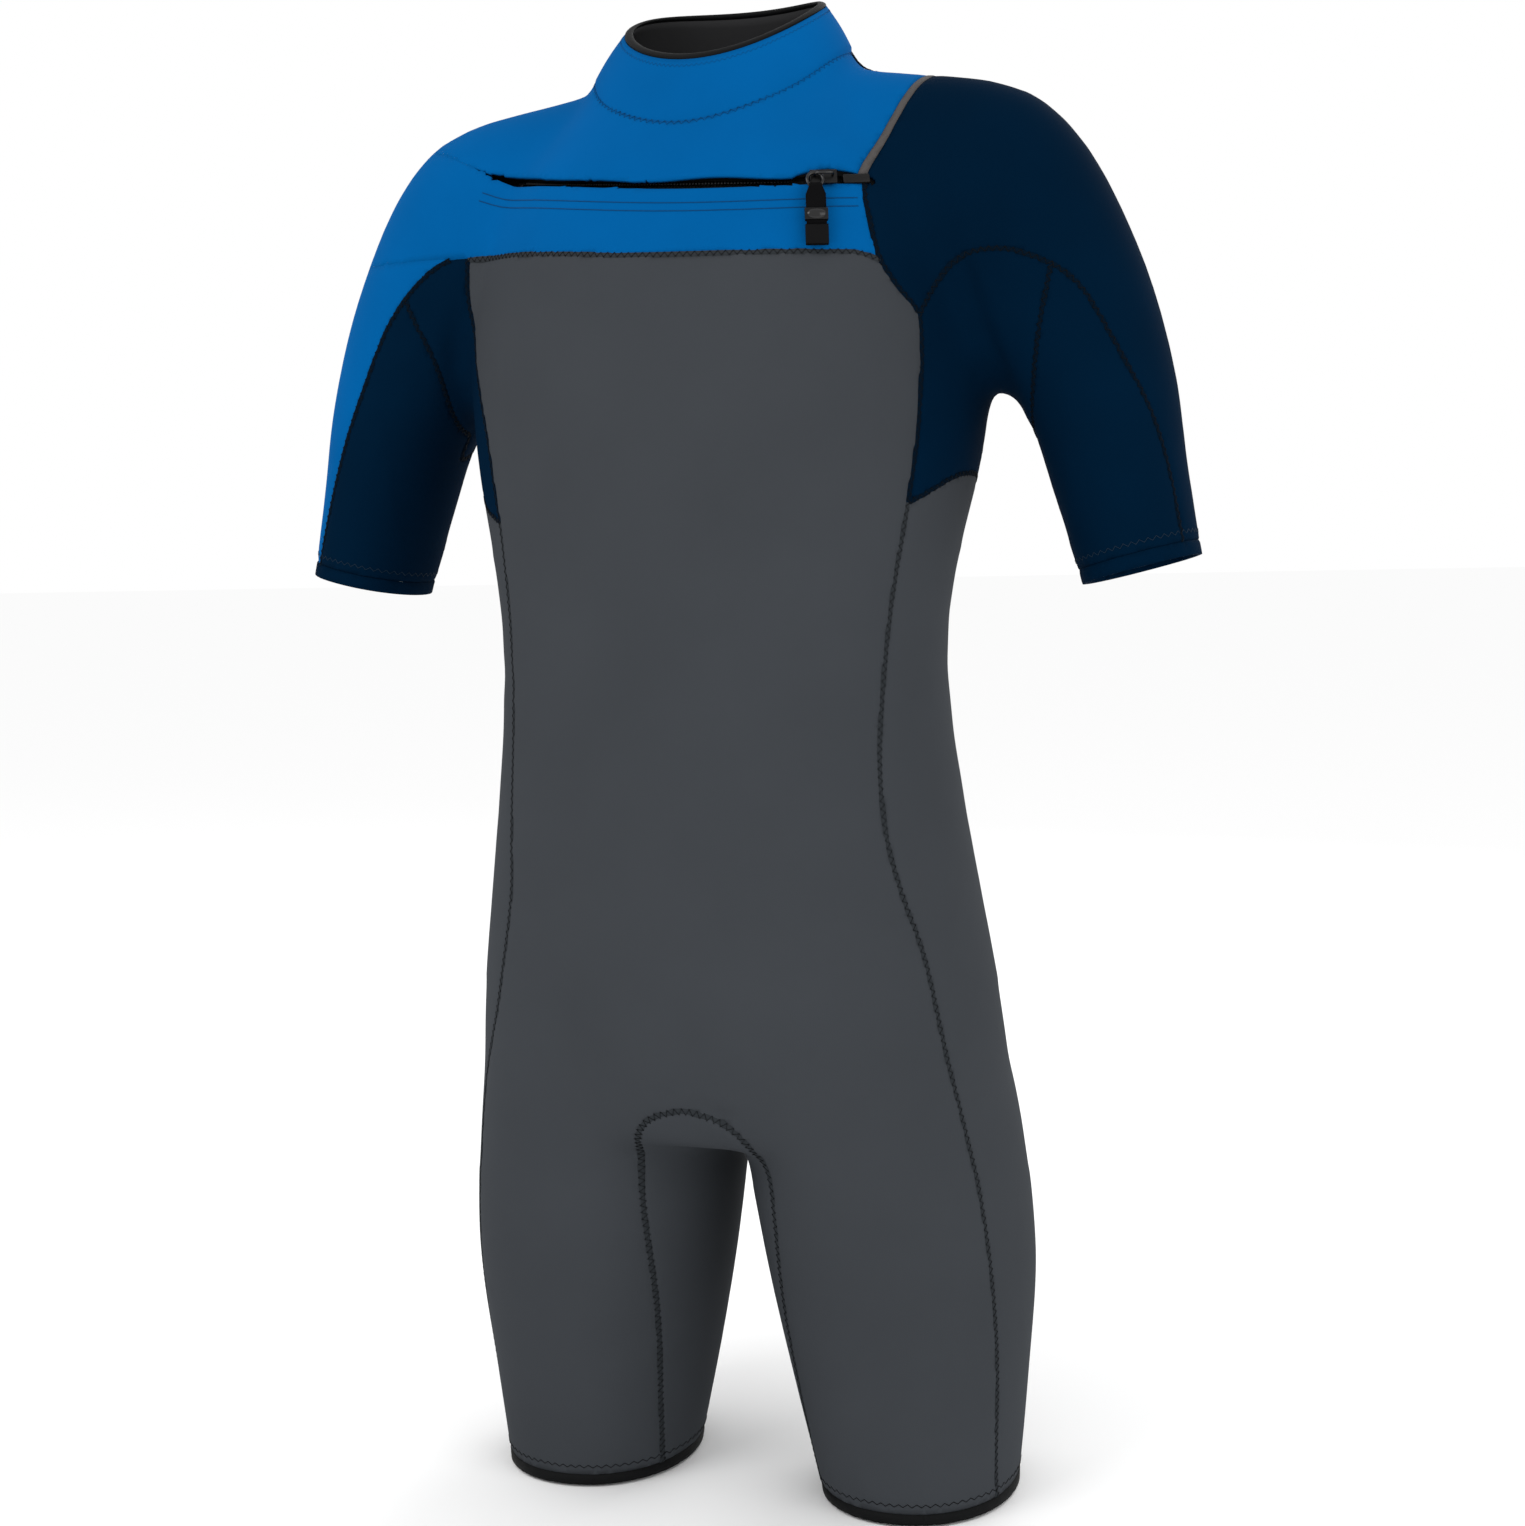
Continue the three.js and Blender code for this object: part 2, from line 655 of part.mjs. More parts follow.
const tapeNear = teethFar + fitGap;
const teethStart = zipBlindAngle + 0.5;
const stopLength = 2; // degrees
const flapInner = teethInner - 4.4;
const garageHalf = slitHalfGap - fitGap;
const zipPieces = {
  zip_tape_upper: zipStrip(zipBlindAngle, teethEndAngle, tapeInner, tapeOuter, tapeNear, tapeNear + tapeWidth),
  zip_tape_lower: zipStrip(zipBlindAngle, zipEndAngle, tapeInner, tapeOuter, -tapeNear - tapeWidth, -tapeNear),
  zip_teeth_upper: zipStrip(teethStart, teethEndAngle, teethInner, teethOuter, teethNear, teethFar),
  zip_teeth_lower: zipStrip(teethStart, garageStartAngle, teethInner, teethOuter, -teethFar, -teethNear),
  zip_end_stop: zipStrip(
    zipBlindAngle - stopLength,
    zipBlindAngle - fitGap / 2,
    teethInner,
    teethOuter,
    -garageHalf,
    garageHalf,
  ),
  zip_garage: zipStrip(garageStartAngle + 0.4, zipEndAngle + 1.6, teethInner, 1.2, -garageHalf, garageHalf),
  storm_flap: zipStrip(zipBlindAngle - 3, zipEndAngle - 2, flapInner, flapInner + 1, -teethFar - tapeWidth, tapeWidth),
};

// ---- slider and pull --------------------------------------------------------------------------

// Lengths in the slider's own frame: X along the zip, -Y out of the chest, Z up it.
const plateInner = 2.8;
const plateOuter = 4.6;
const plateBehind = teethInner - 0.6;
const bridgeReach = 5.6; // centre of the slider to each leg of its bridge
const loopGap = 0.3;
const loopRadius = ringWire + loopGap + webbingThickness;
const ringOut = plateOuter + fitGap + loopRadius;
const bridgeOut = ringOut + 2 * ringWire + loopGap;
const ringHalf = eyeWidth / 2 + 2 * ringWire + fitGap;
const neckHalf = teethNear - fitGap;

// A block from inner to outer, centred on the zip's line.
const sliderBlock = (length, width, inner, outer) =>
  box(length, outer - inner, width, 0, -(inner + outer) / 2, 0);

const sliderBody = sliderBlock(sliderLength, sliderWidth, plateInner, plateOuter)
  .add(sliderBlock(sliderLength - 4, 2 * neckHalf, plateBehind, plateOuter))
  .add(sliderBlock(sliderLength, sliderWidth, plateBehind - 1.6, plateBehind));

function tube(points, radius, sides, closed, steps) {
  const curve = new CatmullRomCurve3(
    points.map(([x, out, z]) => new Vector3(x, -out, z)),
    closed,
    'centripetal',
  );
  return new TubeGeometry(curve, steps, radius, sides, closed);
}

// The bridge over the slider: one bent wire whose two ends stand on the plate.
function bridgeWire() {
  const foot = plateOuter + loopGap;
  const path = [
    [-bridgeReach, foot],
    [-bridgeReach, ringOut],
    [-bridgeReach + 0.9, bridgeOut - 0.3],
    [0, bridgeOut],
    [bridgeReach - 0.9, bridgeOut - 0.3],
    [bridgeReach, ringOut],
    [bridgeReach, foot],
  ];
  const sections = path.map(([x, out], i) => {
    const [beforeX, beforeOut] = path[Math.max(i - 1, 0)];
    const [afterX, afterOut] = path[Math.min(i + 1, path.length - 1)];
    const along = new Vector3(afterX - beforeX, -(afterOut - beforeOut), 0).normalize();
    const across = new Vector3(0, 0, 1).cross(along);
    return ring(new Vector3(x, -out, 0), across, new Vector3(0, 0, 1), ringWire, ringWire, 8, 2);
  });
  return loft(sections);
}

// The ring goes round the near leg of the bridge, and its straight bar holds the pull.
const ringTop = 2 * ringWire + loopGap + 0.2;
const ringShape = [
  [0, 0, ringTop],
  [ringTop - 0.3, 0, 0.6],
  [ringHalf - 1.2, 0, -ringLength * 0.55],
  [ringHalf, 0, -ringLength + 1.4],
  [ringHalf - 1.2, 0, -ringLength],
  [0, 0, -ringLength],
  [-ringHalf + 1.2, 0, -ringLength],
  [-ringHalf, 0, -ringLength + 1.4],
  [-ringHalf + 1.2, 0, -ringLength * 0.55],
  [-ringTop + 0.3, 0, 0.6],
];

// In the pull's frame the origin is the middle of the ring's bar.
const webbingEnd = pullLength - 3;
const doubled = 2 * webbingThickness;
function webbing() {
  const outline = [];
  for (let i = 0; i <= 8; i++) {
    const angle = (i / 8) * Math.PI;
    outline.push([-loopRadius * Math.cos(angle), loopRadius * Math.sin(angle)]);
  }
  const strapTop = 2.5 * loopRadius;
  outline.push([doubled / 2, -strapTop - 1], [-doubled / 2, -strapTop - 1]);
  const sections = [-eyeWidth / 2, eyeWidth / 2].map((x) => outline.map(([out, z]) => new Vector3(x, -out, z)));
  const bore = new CylinderGeometry(ringWire + loopGap, ringWire + loopGap, 2 * webbingWidth, 12);
  const strap = box(webbingWidth, doubled, webbingEnd - strapTop, 0, 0, -(webbingEnd + strapTop) / 2);
  return loft(sections)
    .subtract(solid(bore, new Matrix4().makeRotationZ(Math.PI / 2)))
    .add(strap);
}

// A sleeve around the webbing, from one distance below the bar to another.
function webbingSleeve(from, to, width, depth, closedEnd) {
  const outside = box(width, depth, to - from, 0, 0, -(from + to) / 2);
  const pocket = webbingEnd + seamGap;
  const reach = closedEnd ? pocket - from + 2 : 2 * (to - from);
  const top = closedEnd ? from - 2 : from - (to - from) / 2;
  const hollow = box(webbingWidth + 2 * seamGap, doubled + 2 * seamGap, reach, 0, 0, -(top + reach / 2));
  return outside.subtract(hollow);
}

// ---- colours ----------------------------------------------------------------------------------

const BLUE = { color: 0x005a9a, roughness: 0.85, metalness: 0 };
const NAVY = { color: 0x00182b, roughness: 0.85, metalness: 0 };
const GREY = { color: 0x414548, roughness: 0.88, metalness: 0 };
const BLACK = { color: 0x101114, roughness: 0.7, metalness: 0 };
const BINDING = { color: 0x4a4746, roughness: 0.8, metalness: 0 };
const LINING = { color: 0x2b2b2b, roughness: 0.9, metalness: 0 };
const PLASTIC = { color: 0x0c0c0e, roughness: 0.35, metalness: 0 };

const finishes = {
  left_leg_hem_binding: BLACK,
  right_leg_hem_binding: BLACK,
  left_sleeve_hem: NAVY,
  right_sleeve_hem: NAVY,
  left_shoulder_panel: NAVY,
  right_shoulder_panel: BLUE,
  left_sleeve_panel: NAVY,
  right_sleeve_panel: NAVY,
  left_underarm_panel: NAVY,
  right_underarm_panel: NAVY,
  left_side_panel: GREY,
  right_side_panel: GREY,
  entry_flap_panel: BLUE,
  flap_edge_binding: BINDING,
  lower_chest_panel: BLUE,
  front_body_panel: GREY,
  back_body_panel: GREY,
  upper_back_yoke: NAVY,
  crotch_gusset: GREY,
  collar_outer: BLUE,
  collar_lining: LINING,
  collar_rim: BLACK,
  zip_tape_upper: BLACK,
  zip_tape_lower: BLACK,
  storm_flap: LINING,
  pull_webbing: BLACK,
  pull_tab: BLACK,
};

// ---- assembly ---------------------------------------------------------------------------------

function piece(name, geometry) {
  const mesh = new Mesh(geometry, new MeshStandardMaterial(finishes[name] ?? PLASTIC));
  mesh.name = name;
  return mesh;
}

const suit = new Group();
for (const [name, place] of Object.entries(places)) suit.add(piece(name, geometryOf(pieceAt(place))));
for (const [name, shape] of Object.entries({ ...collarPieces, ...zipPieces })) suit.add(piece(name, geometryOf(shape)));

const zipFrame = new Group();
zipFrame.position.copy(zipCentre);
zipFrame.quaternion.copy(zipTurn);
suit.add(zipFrame);

const seat = new Group();
const seatAngle = MathUtils.degToRad(sliderRestAngle);
seat.position.set(zipRadius * Math.sin(seatAngle), -zipRadius * Math.cos(seatAngle), 0);
seat.rotation.set(-lean, 0, seatAngle, 'ZXY');
zipFrame.add(seat);
seat.add(piece('slider_body', geometryOf(sliderBody)));
seat.add(piece('slider_bridge', geometryOf(bridgeWire())));

// The ring hangs plumb within the slider's plane, and the pull leans in until it meets the chest.
suit.updateMatrixWorld(true);
const down = new Vector3(0, 0, -1).transformDirection(seat.matrixWorld.clone().invert());
const ringSeat = new Group();
ringSeat.position.set(-bridgeReach, -ringOut, 0);
ringSeat.rotation.y = Math.atan2(-down.x, -down.z);
seat.add(ringSeat);
ringSeat.add(piece('pull_ring', tube(ringShape, ringWire, 6, true, 30)));

const pullRestLean = MathUtils.degToRad(9);
const pull = new Group();
pull.position.z = -ringLength;
pull.rotation.x = pullRestLean;
ringSeat.add(pull);
pull.add(piece('pull_webbing', geometryOf(webbing())));
const keeper = webbingSleeve(keeperDrop, keeperDrop + keeperHeight, webbingWidth + 2, doubled + 2.2, false);
const tab = webbingSleeve(pullLength - tabHeight, pullLength, webbingWidth + 1.8, doubled + 2.2, true);
pull.add(piece('pull_keeper', geometryOf(keeper)));
pull.add(piece('pull_tab', geometryOf(tab)));

// The origin is under the middle of the whole suit, front to back.
const whole = new Box3().setFromObject(suit);
suit.position.y = -(whole.min.y + whole.max.y) / 2;

const part = new Group();
part.add(suit);
export default part;
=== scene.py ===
# %% [markdown]
# # A short-sleeved wetsuit with a chest zip
# The suit is worn by nobody, but keeps the shape of a body. One closed skin is built from a torso,
# two sleeves and two legs, and is then cut along its seams into the panels that a wetsuit is sewn from.
# Units are metres. +Z is up, the chest faces -Y and the wearer's left is +X.

# %% start
import json
import math
import random
import bmesh
import bpy
import numpy as np
from mathutils import Euler, Matrix, Vector

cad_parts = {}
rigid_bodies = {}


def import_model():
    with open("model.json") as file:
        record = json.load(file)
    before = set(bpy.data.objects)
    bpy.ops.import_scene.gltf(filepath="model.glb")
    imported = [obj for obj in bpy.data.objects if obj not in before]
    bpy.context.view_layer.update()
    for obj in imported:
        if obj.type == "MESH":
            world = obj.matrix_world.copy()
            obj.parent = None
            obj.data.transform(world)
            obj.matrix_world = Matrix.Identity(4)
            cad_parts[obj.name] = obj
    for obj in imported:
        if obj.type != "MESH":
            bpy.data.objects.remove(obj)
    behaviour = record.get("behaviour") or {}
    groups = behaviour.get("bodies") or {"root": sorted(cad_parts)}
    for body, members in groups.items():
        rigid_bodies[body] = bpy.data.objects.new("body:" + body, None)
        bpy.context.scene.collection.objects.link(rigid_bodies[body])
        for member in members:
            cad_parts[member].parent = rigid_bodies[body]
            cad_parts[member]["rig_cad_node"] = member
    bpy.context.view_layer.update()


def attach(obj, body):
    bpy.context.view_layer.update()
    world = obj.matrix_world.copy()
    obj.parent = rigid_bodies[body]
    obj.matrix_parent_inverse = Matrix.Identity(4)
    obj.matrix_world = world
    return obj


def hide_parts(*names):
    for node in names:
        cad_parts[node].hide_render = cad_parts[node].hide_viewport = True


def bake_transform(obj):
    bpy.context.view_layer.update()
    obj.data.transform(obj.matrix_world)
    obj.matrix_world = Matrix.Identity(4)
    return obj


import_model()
MM = 0.001
SHIFT = 13.5  # the body's own Y, to the frame's Y, in mm
random.seed(7)

# %% [markdown]
# ## Colours and materials
# Wetsuit panels are foamed rubber faced with a fine nylon knit: matt, with a little sheen. The knit's
# loops are about half a millimetre apart, so they show only as a soft grain.

# %% materials
def linear(code):
    """An sRGB hex colour as linear RGBA."""
    values = [int(code[i:i + 2], 16) / 255 for i in (1, 3, 5)]
    return (*[v / 12.92 if v <= 0.04045 else ((v + 0.055) / 1.055) ** 2.4 for v in values], 1)


def add_node(tree, kind, links=(), **settings):
    """Adds a shader node with its settings and inputs. An input is a value or another node's socket."""
    node = tree.nodes.new(kind)
    for key, value in settings.items():
        setattr(node, key, value)
    for name, value in dict(links).items():
        if isinstance(value, bpy.types.NodeSocket):
            tree.links.new(value, node.inputs[name])
        else:
            node.inputs[name].default_value = value
    return node


def material(name, code, roughness, sheen=0.0, grain=0.0, grain_mm=0.6, metallic=0.0, shade=0.0, specular=0.5):
    """A surface of one colour, with a fine grain in its bump and a slow change of shade."""
    made = bpy.data.materials.new(name)
    made.use_nodes = True
    tree = made.node_tree
    shader = tree.nodes["Principled BSDF"]
    shader.inputs["Base Color"].default_value = linear(code)
    shader.inputs["Roughness"].default_value = roughness
    shader.inputs["Metallic"].default_value = metallic
    shader.inputs["Specular IOR Level"].default_value = specular
    shader.inputs["Sheen Weight"].default_value = sheen
    shader.inputs["Sheen Roughness"].default_value = 0.6
    place = add_node(tree, "ShaderNodeTexCoord")
    if grain:
        noise = add_node(
            tree,
            "ShaderNodeTexNoise",
            {"Vector": place.outputs["Object"], "Scale": 1 / (grain_mm * MM), "Detail": 2.0},
        )
        bump = add_node(
            tree,
            "ShaderNodeBump",
            {"Height": noise.outputs["Fac"], "Strength": grain, "Distance": 0.2 * MM},
        )
        tree.links.new(bump.outputs["Normal"], shader.inputs["Normal"])
    if shade:
        slow = add_node(
            tree,
            "ShaderNodeTexNoise",
            {"Vector": place.outputs["Object"], "Scale": 9.0, "Detail": 3.0},
        )
        colour = linear(code)
        ramp = add_node(tree, "ShaderNodeValToRGB", {"Fac": slow.outputs["Fac"]})
        ramp.color_ramp.elements[0].position = 0.3
        ramp.color_ramp.elements[1].position = 0.7
        ramp.color_ramp.elements[0].color = (*[c * (1 - shade) for c in colour[:3]], 1)
        ramp.color_ramp.elements[1].color = (*[min(c * (1 + shade), 1) for c in colour[:3]], 1)
        tree.links.new(ramp.outputs["Color"], shader.inputs["Base Color"])
    return made


BLUE = material("blue_nylon_neoprene", "#00528e", 0.9, 0.0, 0.25, shade=0.07, specular=0.02)
NAVY = material("navy_nylon_neoprene", "#00162a", 0.9, 0.0, 0.25, shade=0.1, specular=0.015)
GREY = material("grey_nylon_neoprene", "#383b3f", 0.9, 0.0, 0.25, shade=0.05, specular=0.05)
LINING = material("dark_grey_lining_jersey", "#2a2a2b", 0.9, 0.0, 0.3, specular=0.08)
BAND_BLUE = material("dark_blue_seam_thread", "#004479", 0.9, 0.0, 0.4, 0.8, specular=0.05)
BAND_DARK = material("black_seam_thread", "#2b2e31", 0.9, 0.0, 0.4, 0.8, specular=0.03)
BAND_NAVY = material("navy_seam_thread", "#000e1c", 0.9, 0.0, 0.4, 0.8, specular=0.05)
THREAD = material("black_nylon_thread", "#07080a", 0.7, specular=0.1)
THREAD_BLUE = material("blue_nylon_thread", "#003a66", 0.7, specular=0.1)
THREAD_GREY = material("grey_nylon_thread", "#24303d", 0.7, specular=0.1)
BINDING = material("black_binding_tape", "#060708", 0.7, 0.0, 0.5, 0.9, specular=0.12)
BINDING_GREY = material("grey_brown_binding_tape", "#4a4746", 0.7, 0.0, 0.5, 0.9, specular=0.1)
WEBBING = material("black_woven_webbing", "#060607", 0.8, 0.0, 0.8, 1.2, specular=0.06)
TAPE = material("black_zip_tape", "#050506", 0.9, 0.0, 0.6, 0.9, specular=0.08)
PLASTIC = material("black_moulded_plastic", "#060607", 0.4, grain=0.1, specular=0.2)
GLOSS = material("polished_black_plastic", "#0a0a0b", 0.16, specular=0.4)
RUBBER = material("black_moulded_rubber", "#060607", 0.6, grain=0.2, specular=0.08)
print(len(bpy.data.materials), "materials")

# %% [markdown]
# ## The worn shape
# Each limb is a row of sections: a circle that is extruded from row to row, and whose points are set
# on a slightly squared ellipse. The rows are joined with a smooth curve.

# %% rows
def smooth_rows(rows, steps):
    """Catmull-Rom rows between the given rows."""
    rows = np.array(rows, float)
    last = len(rows) - 1
    out = []
    for i in range(last * steps + 1):
        at = i / steps
        k = min(int(at), last - 1)
        f = at - k
        p0, p1, p2, p3 = rows[max(k - 1, 0)], rows[k], rows[k + 1], rows[min(k + 2, last)]
        slope = (p2 - p0) * f
        bend = (2 * p0 - 5 * p1 + 4 * p2 - p3) * f * f
        twist = (3 * p1 - p0 - 3 * p2 + p3) * f ** 3
        out.append(p1 + (slope + bend + twist) / 2)
    return out


# height, half width, half depth and middle in Y
TORSO = [
    (250, 184, 106, -6), (325, 182, 118, -16), (560, 151, 103, -34), (700, 173, 117, -18),
    (775, 177, 121, -11), (870, 162, 107, -2), (905.3, 134.5, 93, 2), (933.6, 106, 77, 4),
    (956, 89, 69, 2), (978, 77, 65, -4),
]
# distance out, Y, height, degrees below the horizontal, half width and half depth
ARM_Z, SLEEVE, SLEEVE_ANGLE = 797, 181, math.radians(76)
def sleeve_row(share, y, half_width, half_depth):
    """A section of the sleeve at a share of its length below the shoulder."""
    out = 232 + SLEEVE * share * math.cos(SLEEVE_ANGLE)
    height = ARM_Z - SLEEVE * share * math.sin(SLEEVE_ANGLE)
    return (out, y, height, 76, half_width, half_depth)


SLEEVES = [
    (60, 6, 869, 0, 84, 66), (120, 6, 865, 8, 80, 70), (176, 6, 850, 27, 80, 73), (215, 4, 797, 56, 65, 70),
    sleeve_row(0.35, 1, 49, 62), sleeve_row(0.67, -3, 43, 56), sleeve_row(1, -6, 38, 51),
    sleeve_row(1.12, -7, 36, 49),
]
# height, distance out, Y, half width and half depth
LEGS = [
    (-22, 118, 8, 64, 78), (0, 117, 8, 66, 80), (81, 112, 6, 79, 92), (165, 107, 2, 90, 103),
    (262, 96, -4, 92, 108), (315, 90, -12, 85, 106), (345, 84, -16, 74, 98),
]

# %% tubes
def tube(bm, sections, sides, squareness):
    """Extrudes a circle along the sections, and closes both ends. A section is (centre, u, v, half_u, half_v)."""
    turn = bm.verts.layers.float.get("turn") or bm.verts.layers.float.new("turn")
    ring = bmesh.ops.create_circle(bm, segments=sides, radius=1)["verts"]
    for i, vert in enumerate(ring):
        vert[turn] = 2 * math.pi * i / sides
    first = edges = list({e for v in ring for e in v.link_edges})
    for k, (centre, u, v, half_u, half_v) in enumerate(sections):
        if k:
            grown = bmesh.ops.extrude_edge_only(bm, edges=edges)["geom"]
            ring = [g for g in grown if isinstance(g, bmesh.types.BMVert)]
            edges = [g for g in grown if isinstance(g, bmesh.types.BMEdge)]
        for vert in ring:
            c, s = math.cos(vert[turn]), math.sin(vert[turn])
            along_u = math.copysign(abs(c) ** (2 / squareness), c) * half_u
            along_v = math.copysign(abs(s) ** (2 / squareness), s) * half_v
            vert.co = (Vector(centre) + Vector(u) * along_u + Vector(v) * along_v) * MM
    bmesh.ops.holes_fill(bm, edges=first + edges, sides=0)


X, Y, Z = (1, 0, 0), (0, 1, 0), (0, 0, 1)
body = bmesh.new()
tube(body, [((0, y + SHIFT, z), X, Y, w, d) for z, w, d, y in smooth_rows(TORSO, 5)], 72, 2.2)
for side in (1, -1):
    sections = []
    for out, y, z, angle, width, depth in smooth_rows(SLEEVES, 5):
        turned = math.radians(angle)
        up = (side * math.sin(turned), 0, math.cos(turned))
        sections.append(((side * out, y + SHIFT, z), up, Y, width, depth))
    tube(body, sections, 56, 2.1)
    tube(body, [((side * o, y + SHIFT, z), X, Y, w, d) for z, o, y, w, d in smooth_rows(LEGS, 5)], 56, 2.1)
bmesh.ops.recalc_face_normals(body, faces=body.faces)
print(len(body.faces), "faces in five closed tubes")

# %% [markdown]
# The five tubes become one skin by a voxel remesh of 5 mm, which is then smoothed: more where the
# legs and the arms meet the torso, so that the skin runs over those joins as stretched rubber does.

# %% one skin
VOXEL = 5
rough = bpy.data.meshes.new("rough")
body.to_mesh(rough)
body.free()
holder = bpy.data.objects.new("holder", rough)
bpy.context.scene.collection.objects.link(holder)
remesh = holder.modifiers.new("remesh", "REMESH")
remesh.mode = "VOXEL"
remesh.voxel_size = VOXEL * MM
skinned = bpy.data.meshes.new_from_object(holder.evaluated_get(bpy.context.evaluated_depsgraph_get()))
skin = bmesh.new()
skin.from_mesh(skinned)
bpy.data.objects.remove(holder)


def around(vert):
    """True near the joins between the limbs and the torso."""
    x, y, z = abs(vert.co.x) / MM, vert.co.y / MM, vert.co.z / MM
    hip = 215 < z < 350
    armpit = 130 < x < 235 and 640 < z < 770
    shoulder = 105 < x < 200 and 770 < z < 960
    return hip or armpit or shoulder


for _ in range(6):
    bmesh.ops.smooth_vert(skin, verts=skin.verts, factor=0.5, use_axis_x=True, use_axis_y=True, use_axis_z=True)
joins = [v for v in skin.verts if around(v)]
lower_joins = [v for v in joins if v.co.z < 0.77]
for times in range(26):
    joins = lower_joins if times == 12 else joins
    bmesh.ops.smooth_vert(skin, verts=joins, factor=0.5, use_axis_x=True, use_axis_y=True, use_axis_z=True)
print(len(skin.faces), "faces in the skin")

# %% [markdown]
# Where the arm hangs and at the crotch the foam folds a little. A fold is a shallow groove along a
# line on the front, from one (x, z) to another, with a soft rise beside it.

# %% folds
FOLDS = [
    ((176, 818), (182, 790), 1.6, 5), ((182, 790), (200, 728), 2.0, 6), ((150, 700), (172, 736), 1.0, 7),
    ((-176, 800), (-196, 735), 1.4, 6), ((8, 286), (34, 276), 1.6, 5), ((20, 296), (30, 270), 1.0, 5),
    ((-30, 300), (-6, 286), 0.9, 6), ((140, 480), (118, 470), 0.7, 9), ((-140, 560), (-118, 548), 0.7, 9),
]
skin.normal_update()
for vert in skin.verts:
    if vert.co.y > 0.02:
        continue
    at = np.array([vert.co.x, vert.co.z]) / MM
    push = 0.0
    for start, end, depth, width in FOLDS:
        start, along = np.array(start), np.array(end) - np.array(start)
        share = min(max((at - start) @ along / (along @ along), 0), 1)
        away = np.linalg.norm(at - start - share * along)
        if away < 4 * width:
            taper = math.sin(math.pi * (0.1 + 0.8 * share))
            push += depth * taper * (0.45 * math.exp(-((away - 1.6 * width) / width) ** 2) - math.exp(-(away / width) ** 2))
    vert.co += vert.normal * push * MM
print(len(FOLDS), "folds")

# %% [markdown]
# ## Seams
# A seam is a line on the front or the back view: either a width that changes with height, or a
# height that changes with width. All of these are in millimetres.

# %% seam lines
def line(points):
    """A smooth line through (input, output) points, as a function on arrays."""
    dense = np.array(smooth_rows(sorted(points), 8))
    return lambda at: np.interp(at, dense[:, 0], dense[:, 1])


# Width of the long seam at each height: front left, front right and back.
LEFT_SEAM = line([
    (-30, 179), (20, 179), (107, 184), (164, 184), (219, 179), (266, 171), (319, 161), (378, 151), (424, 138),
    (462, 130), (506, 127), (556, 129), (606, 134), (666, 144), (698, 149), (729, 152), (766, 153), (785, 150),
    (800, 139), (818, 129), (840, 123), (866, 118.5), (897, 128.5), (917, 136), (954, 148), (980, 152),
])
RIGHT_SEAM = line([
    (-30, 178), (60, 181), (150, 180), (219, 175), (282, 164), (341, 145), (411, 129), (457, 128), (557, 125),
    (643, 130), (675, 135), (721, 143), (776, 159), (810, 167), (845, 163),
])
BACK_SEAM = line([
    (-30, 165), (215, 160), (325, 144), (450, 122), (560, 115), (700, 138), (765, 152), (790, 149), (816, 132),
    (850, 122), (866, 118.5), (897, 128.5), (917, 136), (954, 148), (980, 152),
])
# Height of the arch over each arm, and of the other cross seams, at each width.
ARCH = line([
    (140, 752), (150, 778), (160, 804), (175, 818), (201, 821), (231, 810), (248, 796), (264, 769), (290, 714),
    (305, 645), (312, 590),
])
RIGHT_ARCH = line([
    (150, 838), (163, 837), (183, 835), (207, 818), (228, 793), (249, 754), (264, 723), (280, 683), (294, 640),
    (304, 590),
])
GUSSET = line([(-60, 200), (500, 200), (650, 196), (690, 205), (728, 214), (776, 224), (809, 231), (840, 236)])
RIGHT_GUSSET = line([(-60, 200), (500, 200), (650, 196), (700, 202), (765, 195), (809, 211), (840, 220)])
UNDERARM = line([(110, 650), (144, 666), (157, 675), (169, 685), (200, 700)])
CHEST_SEAM = line([(-175, 837), (-111, 833), (-16, 824), (97, 821), (119, 820), (140, 810)])
YOKE_SEAM = line([(-150, 812), (-70, 799), (0, 795), (70, 799), (150, 812)])
CROTCH = line([(-30, 62), (52, 53), (131, 46), (215, 46), (245, 42), (265, 34), (275, 22), (281, 2), (286, -12)])

# The zip lies on an arc of this radius, whose axis leans back and to one side.
ZIP_RADIUS, SKIN_LEAN = 221, math.radians(32)
ZIP_TURN = Euler((math.radians(10.2), 0, 0)).to_matrix()
ZIP_TURN = Euler((0, math.radians(3.4), 0)).to_matrix() @ ZIP_TURN
ZIP_CENTRE = Vector((7, -110.8 + SHIFT, 868)) + ZIP_TURN @ Vector((0, ZIP_RADIUS, 0))
SLIT_FROM, SLIT_TO, SLIT_HALF = -47.0, 31.8, 3.4


def along_zip(x, y, z):
    """Degrees along the zip, and distance up the chest from its middle line, of points in mm."""
    local = (np.stack([x, y + SHIFT, z], -1) - np.array(ZIP_CENTRE)) @ np.array(ZIP_TURN)
    radius = np.hypot(local[:, 0], local[:, 1])
    angle = np.degrees(np.arctan2(local[:, 0], -local[:, 1]))
    up = local[:, 2] * math.cos(SKIN_LEAN) - (radius - ZIP_RADIUS) * math.sin(SKIN_LEAN)
    return angle, up


